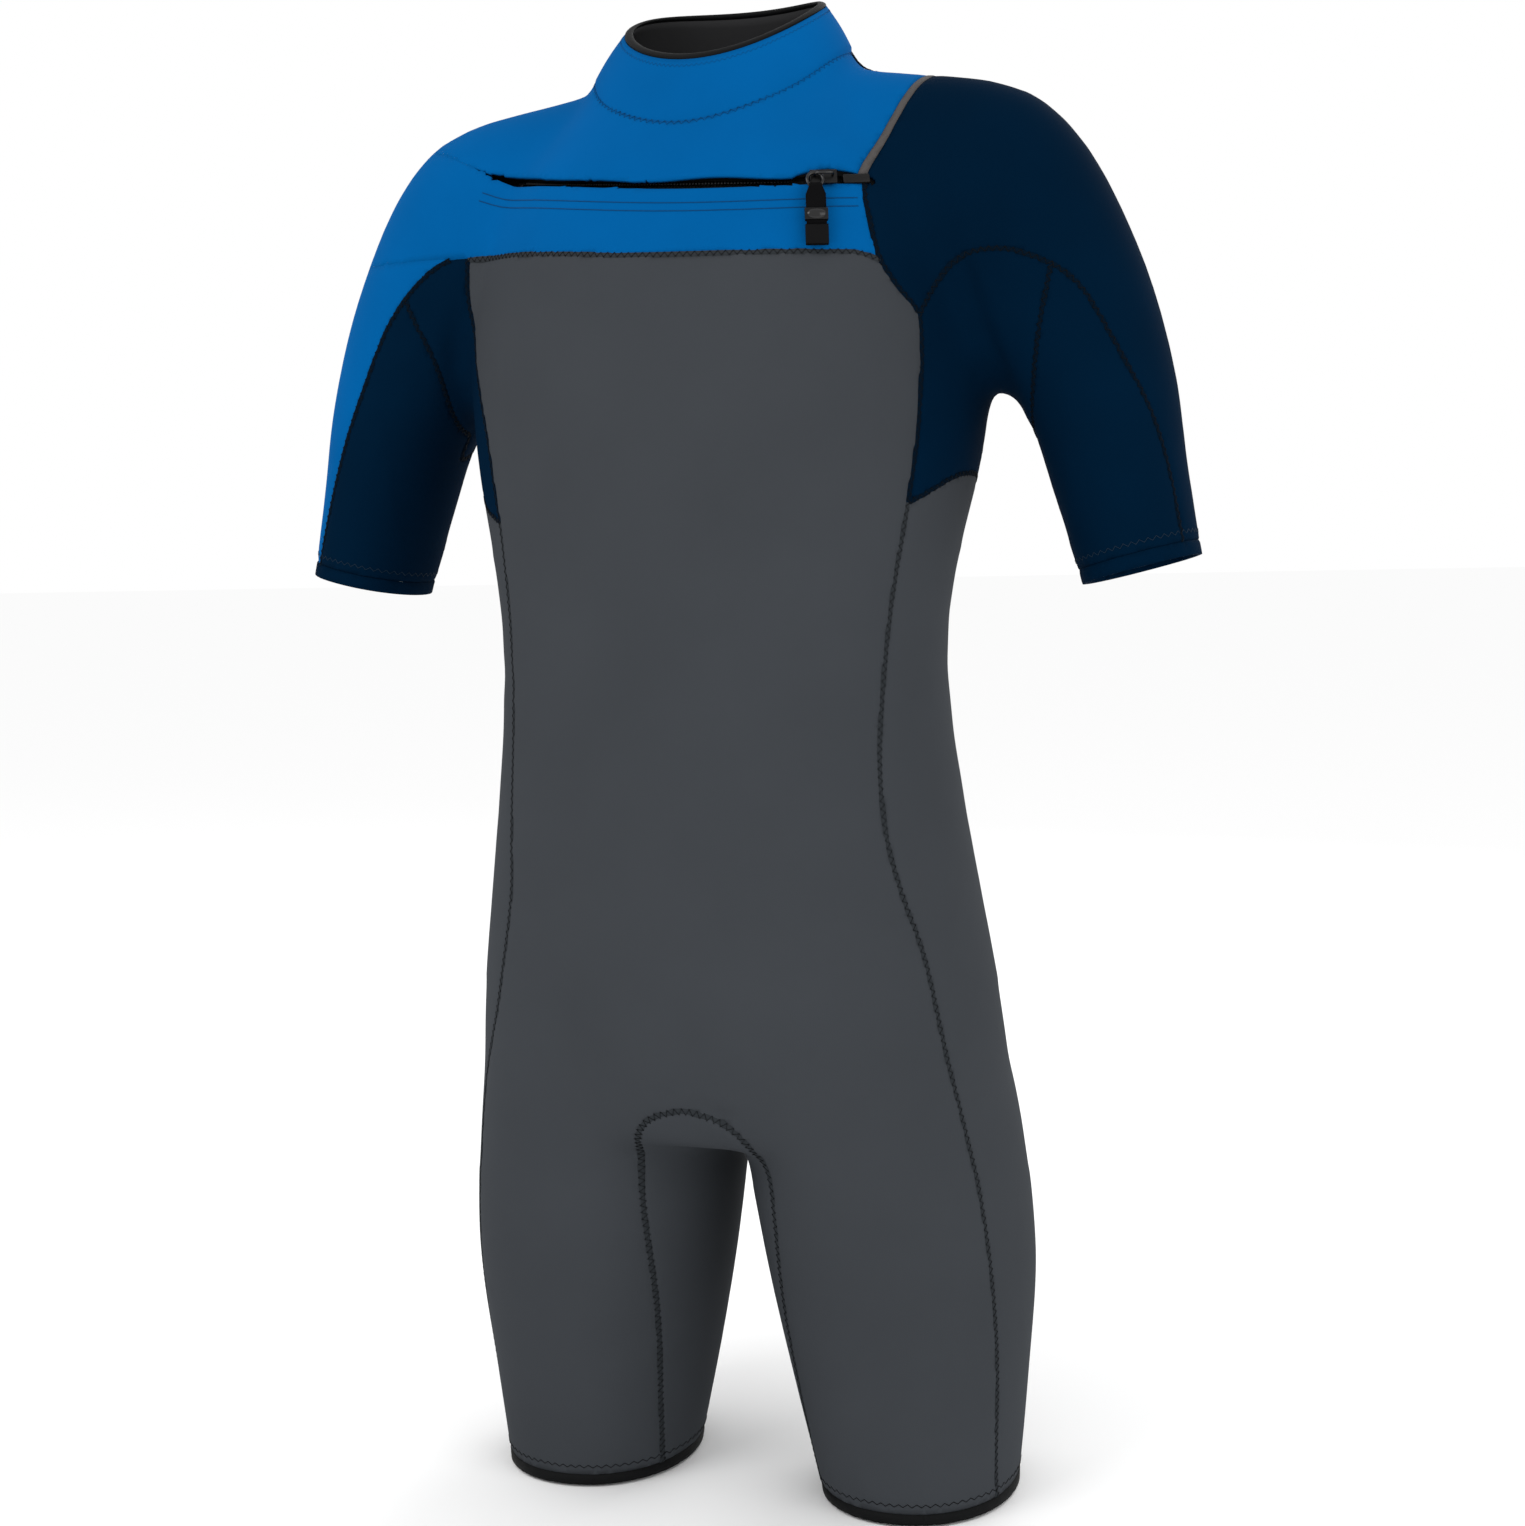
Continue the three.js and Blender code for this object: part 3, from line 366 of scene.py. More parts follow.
def slit(x, y, z):
    """Negative inside the zip's opening. The upper lip is wavy, as the fabric is slack there."""
    angle, up = along_zip(x, y, z)
    wave = 0.9 * np.sin(np.radians(angle * 9 + 40)) + 0.7 * np.sin(np.radians(angle * 17))
    ease = np.clip((angle - SLIT_FROM) / 10, 0, 1)
    upper = (2.7 + wave * 1.1) * ease + 0.2
    bay = 5.2 * np.clip(1 - np.abs(angle - 24) / 5.5, 0, 1) ** 0.5
    lower = 3.0 * ease + 0.2
    ends = np.maximum(SLIT_FROM - angle, angle - SLIT_TO) * 3.9
    return np.maximum(np.maximum(up - upper - bay, -lower - up), ends)


def neck(x, y, z):
    """Negative inside the neck's opening."""
    return (np.hypot(x / 86.4, (y + 10) / 78.4) - 1) * 80


def past_hem(x, z):
    """Distance past the sleeve's hem, negative above it."""
    out, height = sleeve_row(1, 0, 0, 0)[0], sleeve_row(1, 0, 0, 0)[2]
    return (np.abs(x) - out) * math.cos(SLEEVE_ANGLE) - (z - height) * math.sin(SLEEVE_ANGLE)


# %% cutting
CREST, LEG_BAND, SLEEVE_BAND, EDGE_TAPE = 4, 7, 9, 5
CUTS = [
    (lambda x, y, z: z, lambda x, y, z: z < 40),
    (lambda x, y, z: z - LEG_BAND, lambda x, y, z: z < 40),
    (lambda x, y, z: past_hem(x, z), lambda x, y, z: (abs(x) > 200) & (z < 720)),
    (lambda x, y, z: past_hem(x, z) + SLEEVE_BAND, lambda x, y, z: (abs(x) > 200) & (z < 720)),
    (neck, lambda x, y, z: z > 880),
    (slit, lambda x, y, z: (y < -30) & (z > 840) & (z < 915)),
    (lambda x, y, z: x - LEFT_SEAM(z), lambda x, y, z: (x > 0) & (y < CREST + 9)),
    (lambda x, y, z: -x - RIGHT_SEAM(z), lambda x, y, z: (x < 0) & (y < CREST + 5) & (z < 838)),
    (lambda x, y, z: x - LEFT_SEAM(z) + EDGE_TAPE, lambda x, y, z: (x > 0) & (y < CREST + 9) & (z > 866)),
    (lambda x, y, z: abs(x) - BACK_SEAM(z), lambda x, y, z: y > CREST - 5),
    (lambda x, y, z: y - CREST, lambda x, y, z: (z > 900) & (abs(x) < 156)),
    (lambda x, y, z: z - CHEST_SEAM(x), lambda x, y, z: (y < -20) & (abs(x) < 172) & (z > 790)),
    (lambda x, y, z: z - YOKE_SEAM(x), lambda x, y, z: (y > 10) & (abs(x) < 140)),
    (lambda x, y, z: z - ARCH(abs(x)), lambda x, y, z: (abs(x) > 128) & ((x > 0) | (y > CREST - 9)) & (z > 580)),
    (lambda x, y, z: z - RIGHT_ARCH(-x), lambda x, y, z: (x < -158) & (y < CREST + 4) & (z > 580)),
    (lambda x, y, z: abs(x) - GUSSET(z), lambda x, y, z: ((x > 180) | ((x < -180) & (y > 0))) & (z > 640) & (z < 830)),
    (lambda x, y, z: -x - RIGHT_GUSSET(z), lambda x, y, z: (x < -180) & (y < 6) & (z > 640) & (z < 830)),
    (lambda x, y, z: z - UNDERARM(abs(x)), lambda x, y, z: (abs(x) > 115) & (abs(x) < 200) & (z > 630) & (z < 710)),
    (lambda x, y, z: abs(x) - CROTCH(z), lambda x, y, z: (z < 292) & (abs(x) < 78)),
    (lambda x, y, z: along_zip(x, y, z)[1], lambda x, y, z: (y < 0) & (z > 850) & (z < 905) & ((x < -145) | (x > 108))),
]


def places(bm):
    """Every vertex in mm, as arrays of x, y and z with Y from the body's own middle."""
    at = np.array([v.co for v in bm.verts]) / MM
    return at[:, 0], at[:, 1] - SHIFT, at[:, 2]


def cut(bm, value, where):
    """Splits the faces along the line where value is zero. A vertex that is almost on it is moved onto it."""
    bm.verts.ensure_lookup_table()
    bm.verts.index_update()
    x, y, z = places(bm)
    values = value(x, y, z)
    inside = where(x, y, z)
    pairs = np.array([(e.verts[0].index, e.verts[1].index) for e in bm.edges])
    a, b = values[pairs[:, 0]], values[pairs[:, 1]]
    crossing = np.nonzero((a * b < 0) & (inside[pairs[:, 0]] | inside[pairs[:, 1]]))[0]
    bm.edges.ensure_lookup_table()
    crossed = [(bm.edges[i], a[i] / (a[i] - b[i])) for i in crossing]
    on_line, splits = set(), []
    for edge, share in crossed:
        start, end = edge.verts
        if share < 0.2 or share > 0.8:
            near = start if share < 0.5 else end
            if near not in on_line:
                near.co = start.co.lerp(end.co, share)
                on_line.add(near)
    for edge, share in crossed:
        start, end = edge.verts
        if start in on_line or end in on_line:
            continue
        splits.append((edge, start, share))
    for edge, start, share in splits:
        on_line.add(bmesh.utils.edge_split(edge, start, share)[1])
    for face in {f for v in on_line for f in v.link_faces}:
        marked = [v for v in face.verts if v in on_line]
        if len(marked) == 2 and not any(marked[1] in e.verts for e in marked[0].link_edges):
            bmesh.utils.face_split(face, *marked)
    return len(on_line)


print([cut(skin, value, where) for value, where in CUTS], "points on the seams")

# %% [markdown]
# Each face belongs to one panel, told by which side of each seam its middle lies on.

# %% panels
NAMES = [
    "gone", "left_leg_hem_binding", "right_leg_hem_binding", "left_sleeve_hem", "right_sleeve_hem",
    "left_shoulder_panel", "left_sleeve_panel", "right_sleeve_panel", "left_underarm_panel",
    "right_underarm_panel", "left_side_panel", "right_side_panel", "entry_flap_panel", "flap_edge_binding",
    "lower_chest_panel", "front_body_panel", "back_body_panel", "upper_back_yoke", "crotch_gusset",
]
NUMBER = {name: i for i, name in enumerate(NAMES)}


def panel_numbers(x, y, z):
    """The number of the panel that each point lies on."""
    left, front, wide = x > 0, y < CREST, abs(x)
    upper_right = ~left & front & (z > 838)
    seam = np.where(front, np.where(left, LEFT_SEAM(z), RIGHT_SEAM(z)), BACK_SEAM(z))
    arch = np.where(~left & front, RIGHT_ARCH(wide), ARCH(wide))
    gusset = np.where(~left & (y < 3), RIGHT_GUSSET(z), GUSSET(z))
    angle, up = along_zip(x, y, z)
    number = np.where(front, NUMBER["front_body_panel"], NUMBER["back_body_panel"])
    number = np.where(~front & (z > YOKE_SEAM(x)), NUMBER["upper_back_yoke"], number)
    number = np.where(front & (z > CHEST_SEAM(x)), NUMBER["lower_chest_panel"], number)
    number = np.where(front & (up > 0) & (z > 840), NUMBER["entry_flap_panel"], number)
    edge = front & left & (wide > seam - EDGE_TAPE) & (up > 0) & (z > 860)
    number = np.where(edge, NUMBER["flap_edge_binding"], number)
    number = np.where((z < 290) & (wide < CROTCH(z)), NUMBER["crotch_gusset"], number)
    outer = (wide > seam) & ~upper_right
    limb = np.where(left, NUMBER["left_side_panel"], NUMBER["right_side_panel"])
    low = np.where(left, NUMBER["left_underarm_panel"], NUMBER["right_underarm_panel"])
    limb = np.where(z > UNDERARM(wide), low, limb)
    sleeve = np.where(left, NUMBER["left_sleeve_panel"], NUMBER["right_sleeve_panel"])
    limb = np.where(wide > gusset, sleeve, limb)
    top = np.where(left, NUMBER["left_shoulder_panel"], NUMBER["entry_flap_panel"])
    limb = np.where(z > arch, top, limb)
    number = np.where(outer, limb, number)
    past = past_hem(x, z)
    hem = np.where(left, NUMBER["left_sleeve_hem"], NUMBER["right_sleeve_hem"])
    number = np.where((wide > 200) & (z < 720) & (past > -SLEEVE_BAND), hem, number)
    hem = np.where(left, NUMBER["left_leg_hem_binding"], NUMBER["right_leg_hem_binding"])
    number = np.where(z < LEG_BAND, hem, number)
    gone = (z < 0) | ((wide > 200) & (z < 720) & (past > 0)) | ((z > 880) & (neck(x, y, z) < 0))
    gone |= (y < -30) & (z > 840) & (z < 915) & (slit(x, y, z) < 0)
    return np.where(gone, 0, number)


middles = np.array([f.calc_center_median() for f in skin.faces]) / MM
numbers = panel_numbers(middles[:, 0], middles[:, 1] - SHIFT, middles[:, 2])
for face, number in zip(skin.faces, numbers):
    face.material_index = int(number)
bmesh.ops.delete(skin, geom=[f for f in skin.faces if f.material_index == 0], context="FACES")
skin.normal_update()
print({NAMES[i]: int((numbers == i).sum()) for i in range(len(NAMES))})

# %% [markdown]
# ## Seam paths
# Where two panels meet, the edges between them are strung into paths. The skin is pulled in a little
# along each path, as the stitches pull a flatlock seam into the foam.

# %% paths
def string(edges):
    """Strings edges into paths of vertices."""
    links = {}
    for edge in edges:
        for vert in edge.verts:
            links.setdefault(vert, []).append(edge)
    used, paths = set(), []
    for start in sorted(links, key=lambda v: (len(links[v]) != 1, v.index)):
        for first in links[start]:
            if first in used:
                continue
            path, at, edge = [start], start, first
            while edge:
                used.add(edge)
                at = edge.other_vert(at)
                path.append(at)
                edge = next((e for e in links[at] if e not in used), None) if len(links[at]) == 2 else None
            paths.append(path)
    return paths


def even(path, step):
    """A path's points and normals, smoothed and set out at even steps."""
    at = np.array([v.co for v in path])
    normal = np.array([v.normal for v in path])
    closed = path[0] is path[-1]
    for _ in range(3):
        for values in (at, normal):
            if closed:
                ring = values[:-1]
                values[:-1] = (np.roll(ring, 1, 0) + 2 * ring + np.roll(ring, -1, 0)) / 4
                values[-1] = values[0]
            else:
                values[1:-1] = (values[:-2] + 2 * values[1:-1] + values[2:]) / 4
    run = np.concatenate([[0], np.cumsum(np.linalg.norm(np.diff(at, axis=0), axis=1))])
    marks = np.linspace(0, run[-1], max(2, int(run[-1] / step)) + 1)
    at = np.stack([np.interp(marks, run, at[:, i]) for i in range(3)], -1)
    normal = np.stack([np.interp(marks, run, normal[:, i]) for i in range(3)], -1)
    return at, normal / np.linalg.norm(normal, axis=1, keepdims=True), closed


skin.verts.index_update()
meeting = {}
for edge in skin.edges:
    sides = sorted({NAMES[f.material_index] for f in edge.link_faces})
    if len(sides) == 2:
        meeting.setdefault(tuple(sides), []).append(edge)
open_edges = [e for e in skin.edges if len(e.link_faces) == 1]
neck_edges = [e for e in open_edges if e.verts[0].co.z > 0.9 and neck(*[
    np.array([c]) for c in (e.verts[0].co.x / MM, e.verts[0].co.y / MM - SHIFT, 0)])[0] < 3]
PLAIN = {("entry_flap_panel", "lower_chest_panel")}
STEP = 2.5 * MM
paths = {}
for pair, edges in meeting.items():
    if pair in PLAIN:
        continue
    strung = [even(path, STEP) for path in string(edges) if len(path) > 4]
    if strung:
        paths[pair] = strung
paths[("collar_outer", "neck")] = [even(path, STEP) for path in string(neck_edges) if len(path) > 20]
print({" - ".join(pair): len(strung) for pair, strung in paths.items()})

# %% pulled in
GROOVE = 0.9 * MM
pulled = {v for pair, edges in meeting.items() if pair not in PLAIN for e in edges for v in e.verts}
near = {e.other_vert(v) for v in pulled for e in v.link_edges} - pulled
push = {v: -v.normal * GROOVE for v in pulled}
push.update({v: -v.normal * GROOVE * 0.25 for v in near})
for vert, offset in push.items():
    vert.co += offset
print(len(pulled), "points pulled in")

# %% [markdown]
# ## Cloth pieces
# Each panel is copied out of the skin, and given the thickness of the foam inwards.

# %% pieces
BODY_OF = {"entry_flap_panel": "entry_flap", "flap_edge_binding": "entry_flap"}
LOOK = {
    "left_leg_hem_binding": BINDING, "right_leg_hem_binding": BINDING, "left_sleeve_hem": NAVY,
    "right_sleeve_hem": NAVY, "left_shoulder_panel": NAVY, "left_sleeve_panel": NAVY,
    "right_sleeve_panel": NAVY, "left_underarm_panel": NAVY, "right_underarm_panel": NAVY,
    "left_side_panel": GREY, "right_side_panel": GREY, "entry_flap_panel": BLUE,
    "flap_edge_binding": BINDING_GREY, "lower_chest_panel": BLUE, "front_body_panel": GREY,
    "back_body_panel": GREY, "upper_back_yoke": NAVY, "crotch_gusset": GREY,
}


def show(bm, name, look, smooth=True):
    """Makes an object of a bmesh."""
    mesh = bpy.data.meshes.new(name)
    bm.to_mesh(mesh)
    bm.free()
    mesh.materials.clear()
    for one in look if isinstance(look, list) else [look]:
        mesh.materials.append(one)
    if smooth:
        mesh.shade_smooth()
    made = bpy.data.objects.new(name, mesh)
    bpy.context.scene.collection.objects.link(made)
    return made


def thicken(piece, thickness, offset=-1.0, lining=None):
    """Gives a piece thickness, with its inner face in the lining's material."""
    solid = piece.modifiers.new("thickness", "SOLIDIFY")
    solid.thickness = thickness * MM
    solid.offset = offset
    solid.use_even_offset = False
    if lining:
        piece.data.materials.append(lining)
        solid.material_offset = 1


panels, flat_sizes = {}, {}
for name in NAMES[1:]:
    bm = skin.copy()
    bmesh.ops.delete(bm, geom=[f for f in bm.faces if f.material_index != NUMBER[name]], context="FACES")
    for face in bm.faces:
        face.material_index = 0
    area = sum(f.calc_area() for f in bm.faces)
    spans = [max(v.co[i] for v in bm.verts) - min(v.co[i] for v in bm.verts) for i in range(3)]
    piece = show(bm, name + "_cloth", LOOK[name])
    bound = "hem" in name or "binding" in name
    thicken(piece, 3.2 if bound else 2.8, -0.8 if bound else -1.0, None if bound else LINING)
    nodes = [name] + (["right_shoulder_panel"] if name == "entry_flap_panel" else [])
    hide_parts(*nodes)
    if name == "entry_flap_panel":
        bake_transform(piece)
    else:
        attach(piece, BODY_OF.get(name, "suit"))
    span = max(spans) * 1.06
    if name.endswith("leg_hem_binding"):
        span = 0.46
    if name.endswith("sleeve_hem"):
        span = 0.285
    flat_sizes[name] = (round(area / (0.8 * span), 3), round(span, 3), round(area, 4))
    panels[name] = piece
print(flat_sizes)

# %% [markdown]
# ## Flatlock seams
# A flatlock seam is a flat band of thread over the join. The band is a strip that follows the path,
# and a zigzag thread runs over it from edge to edge.

# %% bands
def strip(at, normal, closed, half, heights):
    """A strip across a path: one row of points for each height, spread evenly over its width."""
    bm = bmesh.new()
    count = len(heights)
    lead = np.gradient(at, axis=0)
    if closed:
        lead[0] = lead[-1] = at[1] - at[-2]
    lead /= np.linalg.norm(lead, axis=1, keepdims=True) + 1e-9
    across = np.cross(lead, normal)
    rank = bm.verts.layers.float.new("rank")
    row = [bm.verts.new((0, 0, 0)) for _ in heights]
    for i, vert in enumerate(row):
        vert[rank] = i
    edges = [bm.edges.new(pair) for pair in zip(row, row[1:])]
    for k in range(len(at)):
        if k:
            grown = bmesh.ops.extrude_edge_only(bm, edges=edges)["geom"]
            row = [g for g in grown if isinstance(g, bmesh.types.BMVert)]
            edges = [g for g in grown if isinstance(g, bmesh.types.BMEdge)]
        for vert in row:
            share = vert[rank] / (count - 1) * 2 - 1
            lift = heights[int(round(vert[rank]))]
            vert.co = at[k] + across[k] * share * half + normal[k] * lift
    bmesh.ops.recalc_face_normals(bm, faces=bm.faces)
    if bm.faces:
        middle = len(bm.faces) // 2
        bm.faces.ensure_lookup_table()
        face = bm.faces[middle]
        nearest = int(np.argmin(np.linalg.norm(at - np.array(face.calc_center_median()), axis=1)))
        if face.normal.dot(Vector(normal[nearest])) < 0:
            bmesh.ops.reverse_faces(bm, faces=bm.faces)
    return bm, across


def join(parts, name, look, body_name):
    """Joins several bmeshes into one piece that rides on a body."""
    whole = bmesh.new()
    for part in parts:
        mesh = bpy.data.meshes.new("part")
        part.to_mesh(mesh)
        part.free()
        whole.from_mesh(mesh)
        bpy.data.meshes.remove(mesh)
    piece = show(whole, name, look)
    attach(piece, body_name)
    return piece


def threads(lines, name, look, body_name, thickness):
    """Threads along lines of points, as one curve piece."""
    data = bpy.data.curves.new(name, "CURVE")
    data.dimensions = "3D"
    data.bevel_depth = thickness * MM / 2
    data.bevel_resolution = 0
    data.use_fill_caps = True
    for points in lines:
        spline = data.splines.new("POLY")
        spline.points.add(len(points) - 1)
        spline.points.foreach_set("co", np.concatenate([points, np.ones((len(points), 1))], 1).ravel())
    data.materials.append(look)
    piece = bpy.data.objects.new(name, data)
    bpy.context.scene.collection.objects.link(piece)
    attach(piece, body_name)
    return piece


BLUES = {"entry_flap_panel", "lower_chest_panel", "collar_outer", "neck"}
NAVIES = {n for n, look in LOOK.items() if look is NAVY}
groups = {}
for pair, strung in paths.items():
    if any("hem" in n or "binding" in n for n in pair):
        continue
    kind = "blue" if set(pair) <= BLUES else "navy" if set(pair) & NAVIES else "dark"
    rides = "entry_flap" if "collar_outer" in pair else "suit"
    half = 2.9 if "crotch_gusset" in pair else 2.1
    for at, normal, closed in strung:
        bm, across = strip(at, normal, closed, half * MM, [h * MM for h in (-0.75, -0.12, 0.0, -0.12, -0.75)])
        groups.setdefault((kind, rides, "band"), []).append(bm)
        swing = np.where(np.arange(len(at)) % 2, 1, -1)[:, None] * (half - 0.5) * MM
        zigzag = at + across * swing + normal * 0.05 * MM
        groups.setdefault((kind, rides, "thread"), []).append(zigzag)
BANDS = {"blue": BAND_BLUE, "navy": BAND_NAVY, "dark": BAND_DARK}
THREADS = {"blue": THREAD_BLUE, "navy": THREAD, "dark": THREAD}
for (kind, rides, form), parts in groups.items():
    if form == "band":
        join(parts, f"seam_band_{kind}_{rides}", BANDS[kind], rides)
    else:
        threads(parts, f"seam_thread_{kind}_{rides}", THREADS[kind], rides, 0.55)
print(sorted(groups.keys()))

# %% [markdown]
# ## Hem stitches
# A zigzag row is sewn a few millimetres above each hem.

# %% hem rows
def on_skin(points):
    """The nearest points on the panels' outer faces, and the normals there."""
    found, normals = [], []
    for point in points:
        hit = tree.find_nearest(point)
        found.append(hit[0])
        normals.append(hit[1])
    return np.array(found), np.array(normals)


from mathutils.bvhtree import BVHTree
tree = BVHTree.FromBMesh(skin)
rows = []
for side in (1, -1):
    for height, swing in ((13, 1.2),):
        count = 2 * int(460 / 3.2 / 2)
        ring = [Vector((side * 117 * MM + 0.07 * math.cos(t), (8 + SHIFT) * MM + 0.085 * math.sin(t),
                        (height + (swing if i % 2 else -swing)) * MM))
                for i, t in enumerate(np.linspace(0, 2 * math.pi, count + 1))]
        at, normal = on_skin(ring)
        rows.append(at + normal * 0.15 * MM)
threads(rows, "leg_hem_zigzag", THREAD, "suit", 0.6)
rows = []
for side in (1, -1):
    out, _, height = sleeve_row(1, 0, 0, 0)[:3]
    down = Vector((side * math.cos(SLEEVE_ANGLE), 0, -math.sin(SLEEVE_ANGLE)))
    up = Vector((side * math.sin(SLEEVE_ANGLE), 0, math.cos(SLEEVE_ANGLE)))
    centre = Vector((side * out, -6 + SHIFT, height))
    count = 2 * int(285 / 3.0 / 2)
    ring = [(centre - down * (15 + (1.2 if i % 2 else -1.2)) + up * 39 * math.cos(t)
             + Vector((0, 52 * math.sin(t), 0))) * MM for i, t in enumerate(np.linspace(0, 2 * math.pi, count + 1))]
    at, normal = on_skin(ring)
    rows.append(at + normal * 0.15 * MM)
threads(rows, "sleeve_hem_zigzag", THREAD_GREY, "suit", 0.35)

# %% [markdown]
# ## Zip
# Positions on the zip are given as degrees along its arc, distance out of the chest and distance up it.

# %% zip tools
def zip_point(angle, out, up):
    """A point on the zip, in metres."""
    radius = ZIP_RADIUS + out * math.cos(SKIN_LEAN) - up * math.sin(SKIN_LEAN)
    height = out * math.sin(SKIN_LEAN) + up * math.cos(SKIN_LEAN)
    turned = math.radians(angle)
    local = Vector((radius * math.sin(turned), -radius * math.cos(turned), height))
    return (ZIP_CENTRE + ZIP_TURN @ local) * MM


def zip_frame(angle, out, up):
    """A matrix at a point on the zip: X along it, -Y out of the chest, Z up it."""
    turn = ZIP_TURN @ Euler((0, 0, math.radians(angle))).to_matrix() @ Euler((-SKIN_LEAN, 0, 0)).to_matrix()
    return Matrix.Translation(zip_point(angle, out, up)) @ turn.to_4x4()


def ribbon(name, look, body_name, from_angle, to_angle, out, low, high, thickness, node, wavy=0.0):
    """A strip of tape along the zip."""
    count = int((to_angle - from_angle) / 1.5)
    bm = bmesh.new()
    rank = bm.verts.layers.float.new("rank")
    row = [bm.verts.new((0, 0, 0)) for _ in range(4)]
    for i, vert in enumerate(row):
        vert[rank] = i
    edges = [bm.edges.new(pair) for pair in zip(row, row[1:])]
    for k in range(count + 1):
        if k:
            grown = bmesh.ops.extrude_edge_only(bm, edges=edges)["geom"]
            row = [g for g in grown if isinstance(g, bmesh.types.BMVert)]
            edges = [g for g in grown if isinstance(g, bmesh.types.BMEdge)]
        angle = from_angle + (to_angle - from_angle) * k / count
        for vert in row:
            up = low + (high - low) * vert[rank] / 3
            vert.co = zip_point(angle, out + wavy * math.sin(angle * 0.7 + vert[rank]), up)
    bmesh.ops.recalc_face_normals(bm, faces=bm.faces)
    area = sum(f.calc_area() for f in bm.faces)
    piece = show(bm, name, look)
    thicken(piece, thickness, 0)
    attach(piece, body_name)
    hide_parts(node)
    return piece


ribbon("zip_tape_upper_cloth", TAPE, "entry_flap", -38, 18.4, -7.5, 4.9, 13.6, 0.8, "zip_tape_upper")
ribbon("zip_tape_lower_cloth", TAPE, "suit", -38, 29.2, -7.5, -13.6, -4.9, 0.8, "zip_tape_lower")
ribbon("storm_flap_cloth", LINING, "suit", -41, 27.2, -12.3, -13.2, 9, 1.0, "storm_flap")

# %% teeth
def teeth(name, node, body_name, side, to_angle):
    """A row of moulded teeth along one tape."""
    bm = bmesh.new()
    angle = -37.4 + (0.28 if side > 0 else 0)
    while angle < to_angle - 0.3:
        at = zip_frame(angle, -7.2, side * 3.2)
        size = Matrix.Diagonal((1.25 * MM, 2.2 * MM, 2.1 * MM, 1))
        bmesh.ops.create_cube(bm, size=1, matrix=at @ size)
        angle += 0.56
    bmesh.ops.bevel(bm, geom=bm.edges[:], offset=0.25 * MM, segments=1, profile=0.5, affect="EDGES", material=-1)
    piece = show(bm, name, PLASTIC)
    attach(piece, body_name)
    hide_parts(node)


teeth("zip_teeth_upper_row", "zip_teeth_upper", "entry_flap", 1, 18.4)
teeth("zip_teeth_lower_row", "zip_teeth_lower", "suit", -1, 26.2)

# %% [markdown]
# The slider, its bridge, the zip's end stop and garage, and the pull's tab keep the shape they have in the
# frame, with their edges rounded: each is a copy of its node's mesh with its double points merged.

# %% hardware
def rounded(node, name, look, body_name, radius, segments=2):
    """A copy of a node's mesh with rounded edges."""
    bm = bmesh.new()
    bm.from_mesh(bpy.data.objects[frame_name(node)].data)
    bmesh.ops.remove_doubles(bm, verts=bm.verts, dist=0.01 * MM)
    bmesh.ops.dissolve_limit(bm, angle_limit=math.radians(2), verts=bm.verts, edges=bm.edges)
    if radius:
        sharp = [e for e in bm.edges if len(e.link_faces) == 2 and e.calc_face_angle() > math.radians(35)]
        bmesh.ops.bevel(bm, geom=sharp, offset=radius * MM, segments=segments, profile=0.5, affect="EDGES",
                        material=-1, clamp_overlap=True)
    piece = show(bm, name, look)
    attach(piece, body_name)
    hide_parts(node)
    return piece


def frame_name(node):
    """The name of the object that shows a node."""
    return next(o.name for o in bpy.data.objects if o.get("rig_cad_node") == node)


rounded("slider_body", "slider_body_moulding", PLASTIC, "slider", 0.7, 3)
rounded("slider_bridge", "slider_bridge_wire", GLOSS, "slider", 0)
rounded("zip_end_stop", "zip_end_stop_moulding", PLASTIC, "suit", 0.4)
rounded("zip_garage", "zip_garage_moulding", PLASTIC, "suit", 0.8, 3)
rounded("pull_tab", "pull_tab_moulding", RUBBER, "pull", 0.6, 3)

# %% [markdown]
# The ring is a moulded oval. The webbing folds over its lower side and hangs doubled, and a domed snap
# clips the two layers together.

# %% pull
RING_PIVOT = Vector((92.165, -87.619, 868.461))
RING_DOWN = Vector((0.1399, -0.335, -0.9318))
BAR = Vector((93.368, -90.500, 860.448))
ALONG = Vector((0.9228, 0.3853, 0))
DOWN = Vector((0.082, -0.1964, -0.9771))
OUT = DOWN.cross(ALONG)
RING_WIRE, RING_HALF = 1.15, 4.9


def axes(origin, x, y, z):
    """A matrix in mm to metres with the given axes at the origin."""
    turned = Matrix((x, y, z)).transposed().to_4x4()
    return Matrix.Scale(MM, 4) @ Matrix.Translation(origin) @ turned


ring = bmesh.new()
section = bmesh.ops.create_circle(
    ring, segments=16, radius=RING_WIRE,
    matrix=Matrix.Translation((RING_HALF, 0, 0)) @ Matrix.Rotation(math.pi / 2, 4, "X"),
)["verts"]
loop = section + list({e for v in section for e in v.link_edges})
bmesh.ops.spin(ring, geom=loop, cent=(0, 0, 0), axis=(0, 0, 1), angle=2 * math.pi, steps=48, use_merge=True)
bmesh.ops.remove_doubles(ring, verts=ring.verts, dist=0.01)
bmesh.ops.recalc_face_normals(ring, faces=ring.faces)
ring_middle = RING_PIVOT + RING_DOWN * (8.6 - RING_HALF)
bmesh.ops.transform(ring, matrix=axes(ring_middle, ALONG, RING_DOWN, ALONG.cross(RING_DOWN)), verts=ring.verts)
ring_piece = show(ring, "pull_ring_moulding", GLOSS)
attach(ring_piece, "pull_ring")
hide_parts("pull_ring")

